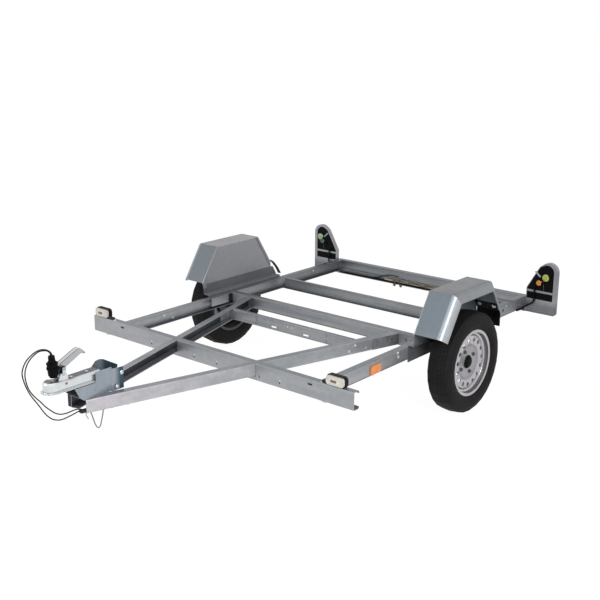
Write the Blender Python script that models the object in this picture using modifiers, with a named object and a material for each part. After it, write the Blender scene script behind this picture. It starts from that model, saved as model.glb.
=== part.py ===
"""A light car trailer chassis: channel frame, torsion suspension, wheels, lamps and coupling.

Metres, +Z up. The coupling points to -Y and the trailer's left side is +X. Every length is
written relative to the wheel axle, which the root empty puts AXLE_Y behind the middle.
"""

import math

import bmesh
import bpy
from mathutils import Matrix, Vector

# Stock and clearances
GAP = 0.0003
SHEET = 0.003
THIN_SHEET = 0.0015
BEND = 0.003
FLANGE = 0.040
NARROW_FLANGE = 0.022
LIP = 0.013

# Places along the trailer
AXLE_Y = 0.5202
BEAM_Y = -1.0055
FRONT_MEMBER_Y = -0.142
SLOTTED_MEMBER_Y = -0.400
MIDDLE_MEMBER_Y = 0.352
REAR_MEMBER_Y = 0.995

# Heights and widths of the frame
RAIL_TOP = 0.396
RAIL_HEIGHT = 0.070
RAIL_X = 0.7145
RAIL_MIDDLE = RAIL_TOP - RAIL_HEIGHT / 2
DRAWBAR_HEIGHT = 0.064
BEAM_HEIGHT = 0.090
BEAM_HALF = 0.9105
BEAM_SHIFT = -0.0175
BEAM_TOP = RAIL_TOP + GAP + SHEET
REAR_HEIGHT = 0.095
MEMBER_HALF = RAIL_X - FLANGE - GAP
REAR_HALF = RAIL_X

# Drawbars, by the outer face of the web
DRAWBAR_FRONT = Vector((0.0538, -1.8433, 0.0))
DRAWBAR_SPLAY = math.radians(16.2)
DRAWBAR_RUN = Vector((math.sin(DRAWBAR_SPLAY), math.cos(DRAWBAR_SPLAY), 0.0))
DRAWBAR_OUT = Vector((math.cos(DRAWBAR_SPLAY), -math.sin(DRAWBAR_SPLAY), 0.0))

# Wheels and suspension
TYRE_RADIUS = 0.2735
WHEEL_X = 0.862
AXLE = Vector((WHEEL_X, 0.0, TYRE_RADIUS))
PIVOT_Y = -0.113
PIVOT_Z = RAIL_MIDDLE
TUBE = 0.050
TUBE_INNER_X = 0.460
TUBE_OUTER_X = 0.757
ARM_X = (0.762, 0.785)
BAR_SIDE = 0.022
SPINDLE_RADIUS = 0.0174
BEARING_RADIUS = 0.0257
HUB_BORE = 0.026
BOLT_CIRCLE = 0.065
BOLT_TURN = math.radians(25.0)
VENT_CIRCLE = 0.127
VENT_RADIUS = 0.0085
VENTS = 15
ROUND_STEPS = 28
HUB_STEPS = 18

# Lamps on the beam
MARKER_INSET = {"left": 0.108, "right": 0.069}
MARKER_WIDTH = 0.108
MARKER_HEIGHT = 0.052

# Axle plate, mudguard and light tower
PLATE_Y = (-0.310, 0.345)
LEDGE_Z = 0.4055
UPRIGHT_X = 0.7505
UPRIGHT_TOP = 0.4625
GUARD_X = UPRIGHT_X + SHEET + GAP
GUARD_EDGE_X = 0.906
GUARD_SKIRT_X = 0.930
GUARD_SKIRT_DROP = 0.045
GUARD_FOLD = 0.028
GUARD_FOOT_Z = 0.4165
GUARD_FRONT = Vector((-0.320, 0.4755))
GUARD_FRONT_TOP = Vector((-0.190, 0.6775))
GUARD_REAR_TOP = Vector((0.178, 0.6775))
GUARD_REAR = Vector((0.297, 0.4941))
FLAP_Y = 0.3005
FLAP_LOW = 0.400
FLAP_SHEET = 0.003
TOWER_Y = REAR_MEMBER_Y - 0.048
TOWER_DEPTH = 0.029
TOWER_SHEET = 0.002
TOWER_BORDER = 0.021
TOWER_X = (RAIL_X + 0.0055, 0.910)
TOWER_LOW = RAIL_TOP - REAR_HEIGHT + 0.0045
TOWER_NECK_Z = 0.455
TOWER_ARCH = 0.055
TOWER_ARCH_Z = 0.5660
WINDOW_LOW = 0.3905
LAMP_MIDDLE = (0.820, 0.480)
LAMP_BACK = TOWER_Y + 0.024
LENS_DEPTH = 0.010

# Coupling
HANDLE_PIVOT = Vector((0.0, -1.928, 0.534))
LATCH_PIVOT = Vector((0.0, -1.926, 0.488))
PIN_RADIUS = 0.005
HANDLE_HALF = 0.014
LUG_X = 0.0155
HEAD_HALF = 0.036
HEAD_LIP_Z = 0.4655
HEAD_TOP = 0.5045
NOSE_Y = -1.984
NOSE_TOP = 0.5135
TAIL_Y = -1.740
BRACKET_X = 0.050
BRACKET_FOOT = (-1.851, -1.632)
PLUG_TOP = Vector((0.0, -1.972, 0.624))
LEAD_DIAMETER = 0.0055
LEAD_SPACING = 0.0160

SIDES = (("left", 1), ("right", -1))
X_AXIS = Vector((1.0, 0.0, 0.0))

MATERIALS = {
    "galvanised_steel": ((0.52, 0.53, 0.55), 0.45, 0.9),
    "mudguard_steel": ((0.42, 0.45, 0.48), 0.42, 0.9),
    "shaded_steel": ((0.16, 0.18, 0.20), 0.55, 0.8),
    "zinc_plated_steel": ((0.68, 0.71, 0.73), 0.30, 1.0),
    "wheel_paint": ((0.66, 0.65, 0.68), 0.35, 0.6),
    "tyre_rubber": ((0.025, 0.024, 0.024), 0.75, 0.0),
    "black_rubber": ((0.020, 0.020, 0.022), 0.65, 0.0),
    "black_plastic": ((0.018, 0.018, 0.020), 0.40, 0.0),
    "red_lens": ((0.55, 0.02, 0.02), 0.15, 0.0),
    "amber_lens": ((0.85, 0.28, 0.03), 0.20, 0.0),
    "cream_lens": ((0.82, 0.80, 0.70), 0.18, 0.0),
}


# Scene, materials and helpers


def clear_scene():
    for obj in list(bpy.data.objects):
        bpy.data.objects.remove(obj, do_unlink=True)


def collection(name, hidden=False):
    made = bpy.data.collections.new(name)
    made.hide_render = hidden
    bpy.context.scene.collection.children.link(made)
    return made


def make_material(name):
    colour, roughness, metallic = MATERIALS[name]
    made = bpy.data.materials.new(name)
    made.use_nodes = True
    shader = made.node_tree.nodes["Principled BSDF"]
    shader.inputs["Base Color"].default_value = (*colour, 1.0)
    shader.inputs["Roughness"].default_value = roughness
    shader.inputs["Metallic"].default_value = metallic
    made.diffuse_color = (*colour, 1.0)
    return made


def body_object(name, bm, side, origin):
    """Turns geometry given for the left side into an object at origin, mirrored where side is -1."""
    origin = Vector(origin)
    bmesh.ops.translate(bm, verts=bm.verts, vec=-origin)
    bmesh.ops.scale(bm, verts=bm.verts, vec=(side, 1.0, 1.0))
    bmesh.ops.recalc_face_normals(bm, faces=bm.faces)
    mesh = bpy.data.meshes.new(name)
    bm.to_mesh(mesh)
    bm.free()
    obj = bpy.data.objects.new(name, mesh)
    obj.location = (origin.x * side, origin.y, origin.z)
    obj.parent = ROOT
    return obj


def piece(name, material, bm, side=1, origin=(0.0, 0.0, 0.0), smooth=False):
    obj = body_object(name, bm, side, origin)
    obj.data.materials.append(PAINT[material])
    if smooth:
        obj.data.shade_smooth()
        obj.data.set_sharp_from_angle(angle=math.radians(35.0))
    PARTS.objects.link(obj)
    return obj


def shape_with(obj, operation, bm, side=1):
    """Cuts or joins obj with a helper made from bm."""
    helper = body_object(f"{obj.name}_{operation.lower()}", bm, side, (0.0, 0.0, 0.0))
    helper.hide_render = True
    helper.display_type = "WIRE"
    CUTTERS.objects.link(helper)
    modifier = obj.modifiers.new(operation.title(), "BOOLEAN")
    modifier.operation = operation
    modifier.solver = "EXACT"
    modifier.object = helper


def cut(obj, bm, side=1):
    shape_with(obj, "DIFFERENCE", bm, side)


def join(obj, bm, side=1):
    shape_with(obj, "UNION", bm, side)


# Shapes


def add_box(bm, low, high):
    low = Vector(low)
    size = Vector(high) - low
    placed = Matrix.Translation(low + size / 2) @ Matrix.Diagonal((*size, 1.0))
    bmesh.ops.create_cube(bm, size=1.0, matrix=placed)


def box(low, high):
    bm = bmesh.new()
    add_box(bm, low, high)
    return bm


def add_prism(bm, outline, start, run, across, up):
    """Extrudes (across, up) points along the vector run."""
    start, run, across, up = Vector(start), Vector(run), Vector(across), Vector(up)
    near = [bm.verts.new(start + across * u + up * v) for u, v in outline]
    far = [bm.verts.new(vert.co + run) for vert in near]
    bm.faces.new(near)
    bm.faces.new(far)
    for index in range(len(near)):
        after = (index + 1) % len(near)
        bm.faces.new((near[index], near[after], far[after], far[index]))


def prism(outline, start, run, across, up):
    bm = bmesh.new()
    add_prism(bm, outline, start, run, across, up)
    return bm


def side_plate(outline, low_x, high_x):
    """A plate with a (y, z) outline between two values of x."""
    return prism(outline, (low_x, 0.0, 0.0), (high_x - low_x, 0.0, 0.0), (0.0, 1.0, 0.0), (0.0, 0.0, 1.0))


def front_plate(outline, low_y, high_y):
    """A plate with an (x, z) outline between two values of y."""
    return prism(outline, (0.0, low_y, 0.0), (0.0, high_y - low_y, 0.0), (1.0, 0.0, 0.0), (0.0, 0.0, 1.0))


def upright(outline, low_z, high_z):
    """A plate with an (x, y) outline between two heights."""
    return prism(outline, (0.0, 0.0, low_z), (0.0, 0.0, high_z - low_z), (1.0, 0.0, 0.0), (0.0, 1.0, 0.0))


def add_turned(bm, profile, steps=ROUND_STEPS, origin=(0, 0, 0), axis=(1, 0, 0), closed=False):
    """Revolves (along, radius) points about axis. A closed profile makes a ring."""
    origin = Vector(origin)
    turn = Vector((1.0, 0.0, 0.0)).rotation_difference(Vector(axis)).to_matrix()
    rings = []
    for along, radius in profile:
        count = steps if radius > 0.0 else 1
        ring = []
        for index in range(count):
            angle = math.tau * index / steps
            local = Vector((along, radius * math.cos(angle), radius * math.sin(angle)))
            ring.append(bm.verts.new(origin + turn @ local))
        rings.append(ring)
    pairs = list(zip(rings, rings[1:]))
    if closed:
        pairs.append((rings[-1], rings[0]))
    for low, high in pairs:
        add_band(bm, low, high, steps)
    if not closed:
        for ring in (rings[0], rings[-1]):
            if len(ring) > 1:
                bm.faces.new(ring)


def add_band(bm, low, high, steps):
    for index in range(steps):
        after = (index + 1) % steps
        near = (low[index % len(low)], low[after % len(low)])
        far = (high[after % len(high)], high[index % len(high)])
        unique = list(dict.fromkeys((*near, *far)))
        if len(unique) > 2:
            bm.faces.new(unique)


def turned(profile, **options):
    bm = bmesh.new()
    add_turned(bm, profile, **options)
    return bm


def add_rod(bm, start, end, radius, steps=12):
    start, end = Vector(start), Vector(end)
    add_turned(bm, [(0.0, radius), ((end - start).length, radius)], steps, start, (end - start).normalized())


def add_bolt(bm, seat, axis, head=0.0085, height=0.007, depth=0.002):
    """A hexagon head on seat, sunk by depth so that it joins the sheet."""
    seat, axis = Vector(seat), Vector(axis).normalized()
    add_rod(bm, seat - axis * depth, seat + axis * height, head, steps=6)


def bolts(seats, axis, **options):
    bm = bmesh.new()
    for seat in seats:
        add_bolt(bm, seat, axis, **options)
    return bm


def offset_corner(before, corner, after, distance):
    """The corner of the line that runs distance to the left of a bent path."""
    first = (corner - before).normalized()
    second = (after - corner).normalized()
    left_first = Vector((-first.y, first.x))
    left_second = Vector((-second.y, second.x))
    bisector = (left_first + left_second).normalized()
    return corner + bisector * distance / bisector.dot(left_first)


def folded(path, sheet=SHEET, bend=BEND, steps=3):
    """The closed outline of bent sheet that lies to the left of path, with rounded bends."""
    path = [Vector(point) for point in path]
    first = (path[1] - path[0]).normalized()
    last = (path[-1] - path[-2]).normalized()
    near = [path[0]]
    far = [path[0] + Vector((-first.y, first.x)) * sheet]
    for before, corner, after in zip(path, path[1:], path[2:]):
        turn = (corner - before).cross(after - corner)
        reach = sheet + bend if turn > 0 else -bend
        centre = offset_corner(before, corner, after, reach)
        start = (corner - before).normalized()
        normal_start = Vector((start.y, -start.x))
        angle = math.atan2(turn, (corner - before).dot(after - corner))
        near_radius = sheet + bend if turn > 0 else -bend
        far_radius = bend if turn > 0 else -(sheet + bend)
        for step in range(steps + 1):
            part = angle * step / steps
            spoke = Matrix.Rotation(part, 2) @ normal_start
            near.append(centre + spoke * near_radius)
            far.append(centre + spoke * far_radius)
    near.append(path[-1])
    far.append(path[-1] + Vector((-last.y, last.x)) * sheet)
    return [tuple(point) for point in near + far[::-1]]


def channel_path(height, flange=FLANGE):
    """The outer line of a channel whose web stands at 0 and whose flanges reach to +flange."""
    return [(flange, 0.0), (0.0, 0.0), (0.0, height), (flange, height)][::-1]


def channel(start, run, web_to_open, height, flange=FLANGE):
    """A channel from start along run. Start is the foot of the web's outer face."""
    return prism(folded(channel_path(height, flange)), start, run, web_to_open, (0.0, 0.0, 1.0))


# Frame


def drawbar_outer(y):
    """The x of a drawbar's outer face at y."""
    return DRAWBAR_FRONT.x + (y - DRAWBAR_FRONT.y) * math.tan(DRAWBAR_SPLAY)


def drawbar_section(clearance, top):
    """A block round a drawbar that leaves clearance beside and below it."""
    low = RAIL_TOP - DRAWBAR_HEIGHT - clearance
    outline = [(-clearance, low), (FLANGE + clearance, low), (FLANGE + clearance, top), (-clearance, top)]
    return prism(outline, DRAWBAR_FRONT, DRAWBAR_RUN * 1.9, -DRAWBAR_OUT, (0.0, 0.0, 1.0))


def drawbar(name, side):
    foot = DRAWBAR_FRONT + Vector((0.0, 0.0, RAIL_TOP - DRAWBAR_HEIGHT))
    made = channel(foot, DRAWBAR_RUN * 1.9, -DRAWBAR_OUT, DRAWBAR_HEIGHT)
    obj = piece(f"drawbar_{name}", "galvanised_steel", made, side, foot)
    end = FRONT_MEMBER_Y - GAP
    cut(obj, box((0.0, end, 0.2), (1.0, end + 0.4, 0.6)), side)
    return obj


def side_rail(name, side):
    """Rail with the plate that closes its open side in front of the torsion tube."""
    front = BEAM_Y + SHEET + BEND + GAP
    back = REAR_MEMBER_Y - FLANGE - GAP
    foot = Vector((RAIL_X, front, RAIL_TOP - RAIL_HEIGHT))
    made = channel(foot, (0.0, back - front, 0.0), (-1.0, 0.0, 0.0), RAIL_HEIGHT)
    obj = piece(f"side_rail_{name}", "galvanised_steel", made, side, foot)
    edge = RAIL_X - FLANGE
    join(obj, box((edge - SHEET, -0.325, foot.z + 0.019), (edge + SHEET, -0.184, RAIL_TOP - 0.001)), side)
    holes = tube_hole(RAIL_X - 0.01, RAIL_X + 0.01)
    hole = Vector((RAIL_X, 0.6865, RAIL_MIDDLE + 0.004))
    add_rod(holes, hole - X_AXIS * 0.01, hole + X_AXIS * 0.01, 0.006, steps=8)
    add_box(holes, (RAIL_X - 0.034, 0.778, RAIL_TOP - 0.01), (RAIL_X - 0.026, 0.806, RAIL_TOP + 0.01))
    cut(obj, holes, side)
    return obj


def tube_hole(low_x, high_x):
    """A cutter for the square hole that the torsion tube passes."""
    half = TUBE / 2 + GAP
    return box((low_x, PIVOT_Y - half, PIVOT_Z - half), (high_x, PIVOT_Y + half, PIVOT_Z + half))


def front_beam():
    low = BEAM_TOP - BEAM_HEIGHT
    path = [
        (FLANGE, BEAM_TOP - LIP), (FLANGE, BEAM_TOP), (0.0, BEAM_TOP), (0.0, low), (FLANGE, low),
        (FLANGE, low + LIP),
    ]
    start = Vector((BEAM_SHIFT - BEAM_HALF, BEAM_Y, 0.0))
    made = prism(folded(path), start, (2 * BEAM_HALF, 0.0, 0.0), (0.0, 1.0, 0.0), (0.0, 0.0, 1.0))
    obj = piece("front_beam", "galvanised_steel", made, origin=start)
    windows = bmesh.new()
    for _, side in SIDES:
        window = drawbar_section(0.002, BEAM_TOP - SHEET)
        bmesh.ops.scale(window, verts=window.verts, vec=(side, 1.0, 1.0))
        add_copy(windows, window)
        edge = RAIL_X + 0.002
        notch = sorted((side * edge, side * (edge - FLANGE - 0.004)))
        low_notch = (notch[0], BEAM_Y + FLANGE / 2, RAIL_TOP - RAIL_HEIGHT - 0.002)
        add_box(windows, low_notch, (notch[1], BEAM_Y + FLANGE + 0.01, BEAM_TOP - SHEET))
    cut(obj, windows)
    cut(obj, beam_slots())
    return obj


def beam_slots():
    slots = bmesh.new()
    front, back = BEAM_Y - 0.01, BEAM_Y + 0.01
    low = BEAM_TOP - BEAM_HEIGHT + 0.021
    for x in (-0.452, -0.129, 0.033, 0.321, 0.452):
        add_box(slots, (x - 0.004, front, low), (x + 0.004, back, low + 0.018))
    add_box(slots, (-0.700, front, BEAM_TOP - 0.025), (-0.682, back, BEAM_TOP - 0.018))
    return slots


def add_copy(bm, other):
    """Adds the geometry of other to bm and frees other."""
    copies = {vert: bm.verts.new(vert.co) for vert in other.verts}
    for face in other.faces:
        bm.faces.new([copies[vert] for vert in face.verts])
    other.free()


def cross_member(name, web_y, height, half, open_back, flange=FLANGE):
    """A channel across the frame whose web stands at web_y and opens to the back or the front."""
    foot = Vector((-half, web_y, RAIL_TOP - height))
    opening = (0.0, 1.0, 0.0) if open_back else (0.0, -1.0, 0.0)
    made = channel(foot, (2 * half, 0.0, 0.0), opening, height, flange)
    return piece(name, "galvanised_steel", made, origin=foot)


def cross_members():
    cross_member("cross_member_front", FRONT_MEMBER_Y, RAIL_HEIGHT, MEMBER_HALF, True)
    cross_member("cross_member_middle", MIDDLE_MEMBER_Y, RAIL_HEIGHT, MEMBER_HALF, False, NARROW_FLANGE)
    cross_member("cross_member_rear", REAR_MEMBER_Y, REAR_HEIGHT, REAR_HALF, False)
    slotted_member()


def slotted_member():
    half = drawbar_outer(SLOTTED_MEMBER_Y) - FLANGE / math.cos(DRAWBAR_SPLAY) - GAP
    obj = cross_member("cross_member_slotted", SLOTTED_MEMBER_Y, DRAWBAR_HEIGHT, half, True, NARROW_FLANGE)
    slots = bmesh.new()
    front, back = SLOTTED_MEMBER_Y - 0.01, SLOTTED_MEMBER_Y + 0.01
    low = RAIL_TOP - DRAWBAR_HEIGHT
    for side in (-1, 1):
        x = 0.115 * side
        add_box(slots, (x - 0.019, front, low + 0.0145), (x + 0.019, back, low + 0.0245))
        hole = Vector((0.016 * side, front, low + 0.040))
        add_rod(slots, hole, hole + Vector((0.0, back - front, 0.0)), 0.004, steps=8)
    cut(obj, slots)


def slotted_bracket(name, side):
    """Ties the slotted member to the inside of a drawbar's web."""
    face = SLOTTED_MEMBER_Y - GAP
    inner_x = drawbar_outer(face) - 0.233
    corner = Vector((drawbar_outer(face) - (SHEET + GAP) / math.cos(DRAWBAR_SPLAY), face))
    forward = Vector((-DRAWBAR_RUN.x, -DRAWBAR_RUN.y))
    outline = folded([tuple(corner + forward * 0.090), tuple(corner), (inner_x, face)])
    foot = Vector((inner_x, face, RAIL_TOP - DRAWBAR_HEIGHT + SHEET + BEND))
    height = DRAWBAR_HEIGHT - 2 * (SHEET + BEND)
    made = upright(outline, foot.z, foot.z + height)
    obj = piece(f"slotted_bracket_{name}", "galvanised_steel", made, side, foot)
    seats = [(inner_x + 0.015, face - SHEET, foot.z + up) for up in (0.011, height - 0.011)]
    join(obj, bolts(seats, (0.0, -1.0, 0.0), head=0.007, height=0.005), side)
    return obj


def drawbar_bracket(name, side):
    """Ties a drawbar's outer web to the front cross member."""
    face = FRONT_MEMBER_Y - GAP
    sheet = 0.004
    corner = Vector((drawbar_outer(face) + GAP / math.cos(DRAWBAR_SPLAY), face))
    forward = Vector((-DRAWBAR_RUN.x, -DRAWBAR_RUN.y))
    outer_x = corner.x + 0.0937
    outline = folded([(outer_x, face), tuple(corner), tuple(corner + forward * 0.180)], sheet)
    foot = Vector((corner.x, face, RAIL_TOP - DRAWBAR_HEIGHT + 0.002))
    made = upright(outline, foot.z, RAIL_TOP - 0.002)
    obj = piece(f"drawbar_bracket_{name}", "galvanised_steel", made, side, foot)
    middle = RAIL_TOP - DRAWBAR_HEIGHT / 2
    across = [(outer_x - out, face - sheet, middle) for out in (0.052, 0.017)]
    join(obj, bolts(across, (0.0, -1.0, 0.0)), side)
    start = Vector((corner.x, face, middle)) + DRAWBAR_OUT * sheet
    along = [start - DRAWBAR_RUN * reach for reach in (0.06, 0.15)]
    join(obj, bolts(along, DRAWBAR_OUT), side)
    return obj


# Suspension


def axle_plate(name, side):
    """The Z-shaped plate that ties the torsion tube and the mudguard to a rail."""
    web_x = RAIL_X + GAP
    low_y, high_y = PLATE_Y
    foot = Vector((web_x, low_y, RAIL_TOP - RAIL_HEIGHT - 0.0125))
    path = [(UPRIGHT_X, UPRIGHT_TOP), (UPRIGHT_X, LEDGE_Z), (web_x, LEDGE_Z), (web_x, foot.z)]
    obj = piece(f"axle_plate_{name}", "shaded_steel", front_plate(folded(path), low_y, high_y), side, foot)
    cutter = tube_hole(web_x - 0.01, web_x + 0.01)
    add_box(cutter, (UPRIGHT_X - 0.01, low_y - 0.01, 0.440), (UPRIGHT_X + 0.01, low_y + 0.030, 0.480))
    cut(obj, cutter, side)
    corner = [guard_line(UPRIGHT_TOP + 0.02), guard_line(LEDGE_Z + 0.004)]
    corner += [corner[-1] + Vector((0.1, 0.0)), corner[0] + Vector((0.1, 0.0))]
    cut(obj, side_plate(corner, UPRIGHT_X - 0.01, UPRIGHT_X + 0.01), side)
    face = web_x + SHEET
    seats = [(face, y, PIVOT_Z - 0.010) for y in (-0.278, 0.080, 0.310)]
    join(obj, bolts(seats, X_AXIS, height=0.006), side)
    return obj


def guard_line(z):
    """The (y, z) point at height z just inside the line of the guard's rear slope."""
    slope = GUARD_REAR - GUARD_REAR_TOP
    y = GUARD_REAR_TOP.x + slope.x * (z - GUARD_REAR_TOP.y) / slope.y
    return Vector((y - 0.004, z))


def torsion_tube(name, side):
    half = TUBE / 2
    square = [(-half, -half), (half, -half), (half, half), (-half, half)]
    start = Vector((TUBE_INNER_X, PIVOT_Y, PIVOT_Z))
    run = Vector((TUBE_OUTER_X - TUBE_INNER_X, 0.0, 0.0))
    across, up = (0.0, 1.0, 0.0), (0.0, 0.0, 1.0)
    made = prism(square, start, run, across, up)
    obj = piece(f"torsion_tube_{name}", "galvanised_steel", made, side, start)
    inner = half - SHEET
    bore = [(-inner, -inner), (inner, -inner), (inner, inner), (-inner, inner)]
    past = Vector((0.01, 0.0, 0.0))
    cut(obj, prism(bore, start - past, run + 2 * past, across, up), side)
    return obj


def rubber_core(name, side):
    """The rubber that grips the arm's square bar inside the tube."""
    half = TUBE / 2 - SHEET - GAP
    start = Vector((TUBE_INNER_X + 0.020, PIVOT_Y, PIVOT_Z))
    end = Vector((TUBE_OUTER_X - 0.004, PIVOT_Y, PIVOT_Z))
    flat = Vector((0.0, half, half))
    obj = piece(f"rubber_core_{name}", "black_rubber", box(start - flat, end + flat), side, start)
    bore = bmesh.new()
    past = Vector((0.01, 0.0, 0.0))
    add_rod(bore, start - past, end + past, BAR_SIDE * math.sqrt(0.5) + 0.0008, steps=16)
    cut(obj, bore, side)
    return obj


def arm_outline(steps=6):
    """Two circles, at the pivot and at the spindle, joined by their outer tangents."""
    pivot = Vector((PIVOT_Y, PIVOT_Z))
    spindle = Vector((AXLE.y, AXLE.z))
    line = spindle - pivot
    heading = math.atan2(line.y, line.x)
    pivot_radius, spindle_radius = 0.036, 0.030
    lean = math.acos((pivot_radius - spindle_radius) / line.length)
    outline = []
    for centre, radius, start, end in (
        (pivot, pivot_radius, heading + lean, heading + math.tau - lean),
        (spindle, spindle_radius, heading - lean, heading + lean),
    ):
        for step in range(steps + 1):
            angle = start + (end - start) * step / steps
            outline.append((centre.x + radius * math.cos(angle), centre.y + radius * math.sin(angle)))
    return outline


def suspension_arm(name, side):
    """Trailing arm with its square bar, its spindle and the nut that holds the bearing."""
    pivot = Vector((ARM_X[0], PIVOT_Y, PIVOT_Z))
    blade = side_plate(arm_outline(), *ARM_X)
    obj = piece(f"suspension_arm_{name}", "zinc_plated_steel", blade, side, pivot)
    lean = math.atan2(AXLE.z - PIVOT_Z, AXLE.y - PIVOT_Y)
    half = BAR_SIDE / 2
    square = [(-half, -half), (half, -half), (half, half), (-half, half)]
    start = Vector((TUBE_INNER_X + 0.030, PIVOT_Y, PIVOT_Z))
    across = (0.0, math.cos(lean), math.sin(lean))
    up = (0.0, -math.sin(lean), math.cos(lean))
    bar = prism(square, start, (ARM_X[0] + 0.004 - start.x, 0.0, 0.0), across, up)
    join(obj, bar, side)
    spindle = [(-0.081, SPINDLE_RADIUS), (0.006, SPINDLE_RADIUS)]
    join(obj, turned(spindle, steps=HUB_STEPS, origin=AXLE), side)
    nut = bmesh.new()
    add_rod(nut, AXLE + Vector((0.0055, 0.0, 0.0)), AXLE + Vector((0.016, 0.0, 0.0)), 0.0185, steps=6)
    join(obj, nut, side)
    return obj


def wheel_bearing(name, side):
    profile = [(-0.040, 0.0177), (-0.040, BEARING_RADIUS), (0.005, BEARING_RADIUS), (0.005, 0.0177)]
    made = turned(profile, steps=HUB_STEPS, origin=AXLE, closed=True)
    return piece(f"wheel_bearing_{name}", "zinc_plated_steel", made, side, AXLE, smooth=True)


def hub(name, side):
    """Hub with its flange and the four wheel bolts."""
    profile = [
        (-0.052, HUB_BORE), (-0.052, 0.032), (-0.005, 0.036), (-0.005, 0.078),
        (0.004, 0.078), (0.004, 0.0362), (0.024, 0.0362), (0.024, HUB_BORE),
    ]
    made = turned(profile, steps=HUB_STEPS, origin=AXLE, closed=True)
    obj = piece(f"hub_{name}", "zinc_plated_steel", made, side, AXLE, smooth=True)
    shanks = bmesh.new()
    heads = bmesh.new()
    for index in range(4):
        angle = BOLT_TURN + index * math.pi / 2
        centre = AXLE + Vector((0.0, math.cos(angle), math.sin(angle))) * BOLT_CIRCLE
        add_rod(shanks, centre, centre + X_AXIS * 0.010, 0.006, steps=6)
        add_rod(heads, centre + X_AXIS * 0.0087, centre + X_AXIS * 0.0215, 0.0098, steps=6)
    join(obj, shanks, side)
    join(obj, heads, side)
    return obj


def hub_cap(name, side):
    profile = [
        (0.038, 0.0), (0.0375, 0.021), (0.034, 0.028), (0.0263, 0.0355), (0.0243, 0.0355),
        (0.0243, 0.0256), (0.017, 0.0256), (0.017, 0.0240), (0.034, 0.0205), (0.0355, 0.0),
    ]
    made = turned(profile, steps=HUB_STEPS, origin=AXLE)
    return piece(f"hub_cap_{name}", "black_plastic", made, side, AXLE, smooth=True)


def rim_profile():
    """The pressed rim and its disc as one ring, from the outboard flange to the bore and back."""
    tyre_side = [
        (0.0560, 0.1765), (0.0535, 0.1790), (0.0508, 0.1760), (0.0500, 0.1655), (0.0330, 0.1640),
        (0.0260, 0.1490), (-0.0120, 0.1490), (-0.0300, 0.1640), (-0.0500, 0.1655), (-0.0508, 0.1760),
        (-0.0545, 0.1790),
    ]
    axle_side = [(-0.0535, 0.1625), (-0.0320, 0.1610), (-0.0140, 0.1452)]
    disc_inboard = [
        (-0.0100, 0.1411), (0.0140, 0.1411), (0.0203, 0.1200), (0.0140, 0.0970), (0.0043, 0.0830),
    ]
    bore = [(0.0043, 0.0370), (0.0083, 0.0370)]
    disc_outboard = [(0.0083, 0.0820), (0.0180, 0.0955), (0.0243, 0.1200), (0.0195, 0.1440)]
    outer = [(0.0250, 0.1455), (0.0320, 0.1605), (0.0535, 0.1625)]
    return tyre_side + axle_side + disc_inboard + bore + disc_outboard + outer


def rim(name, side):
    made = turned(rim_profile(), origin=AXLE, closed=True)
    obj = piece(f"rim_{name}", "wheel_paint", made, side, AXLE, smooth=True)
    holes = bmesh.new()
    for index in range(VENTS):
        angle = math.radians(47.0) + math.tau * index / VENTS
        centre = AXLE + Vector((0.0, math.cos(angle), math.sin(angle))) * VENT_CIRCLE
        add_rod(holes, centre, centre + Vector((0.04, 0.0, 0.0)), VENT_RADIUS, steps=6)
    for index in range(4):
        angle = BOLT_TURN + index * math.pi / 2
        centre = AXLE + Vector((0.0, math.cos(angle), math.sin(angle))) * BOLT_CIRCLE
        add_rod(holes, centre, centre + Vector((0.02, 0.0, 0.0)), 0.0068, steps=7)
    cut(obj, holes, side)
    return obj


def tyre(name, side):
    half = [
        (0.0360, 0.1648), (0.0500, 0.1660), (0.0503, 0.1775), (0.0610, 0.1905), (0.0675, 0.2130),
        (0.0665, 0.2350), (0.0600, 0.2560), (0.0490, 0.2685),
    ]
    inner = [(0.0450, 0.2570), (0.0580, 0.2130), (0.0420, 0.1780)]
    outline = half + [(0.0, TYRE_RADIUS)] + [(-x, r) for x, r in half[::-1]]
    outline += [(-x, r) for x, r in inner[::-1]] + inner
    made = turned(outline, origin=AXLE, closed=True)
    return piece(f"tyre_{name}", "tyre_rubber", made, side, AXLE, smooth=True)


def fold_start():
    """The x where the guard's roof starts to round over into its skirt."""
    lean = math.atan2(GUARD_SKIRT_DROP, GUARD_SKIRT_X - GUARD_EDGE_X)
    return GUARD_EDGE_X - GUARD_FOLD * math.tan(lean / 2)


def guard_section(steps=4):
    """(x, drop) points across the guard: flat roof, rounded fold and sloping skirt."""
    lean = math.atan2(GUARD_SKIRT_DROP, GUARD_SKIRT_X - GUARD_EDGE_X)
    points = [(GUARD_X, 0.0)]
    for step in range(steps + 1):
        angle = lean * step / steps
        points.append((fold_start() + GUARD_FOLD * math.sin(angle), GUARD_FOLD * (1.0 - math.cos(angle))))
    return points + [(GUARD_SKIRT_X, GUARD_SKIRT_DROP)]


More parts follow.
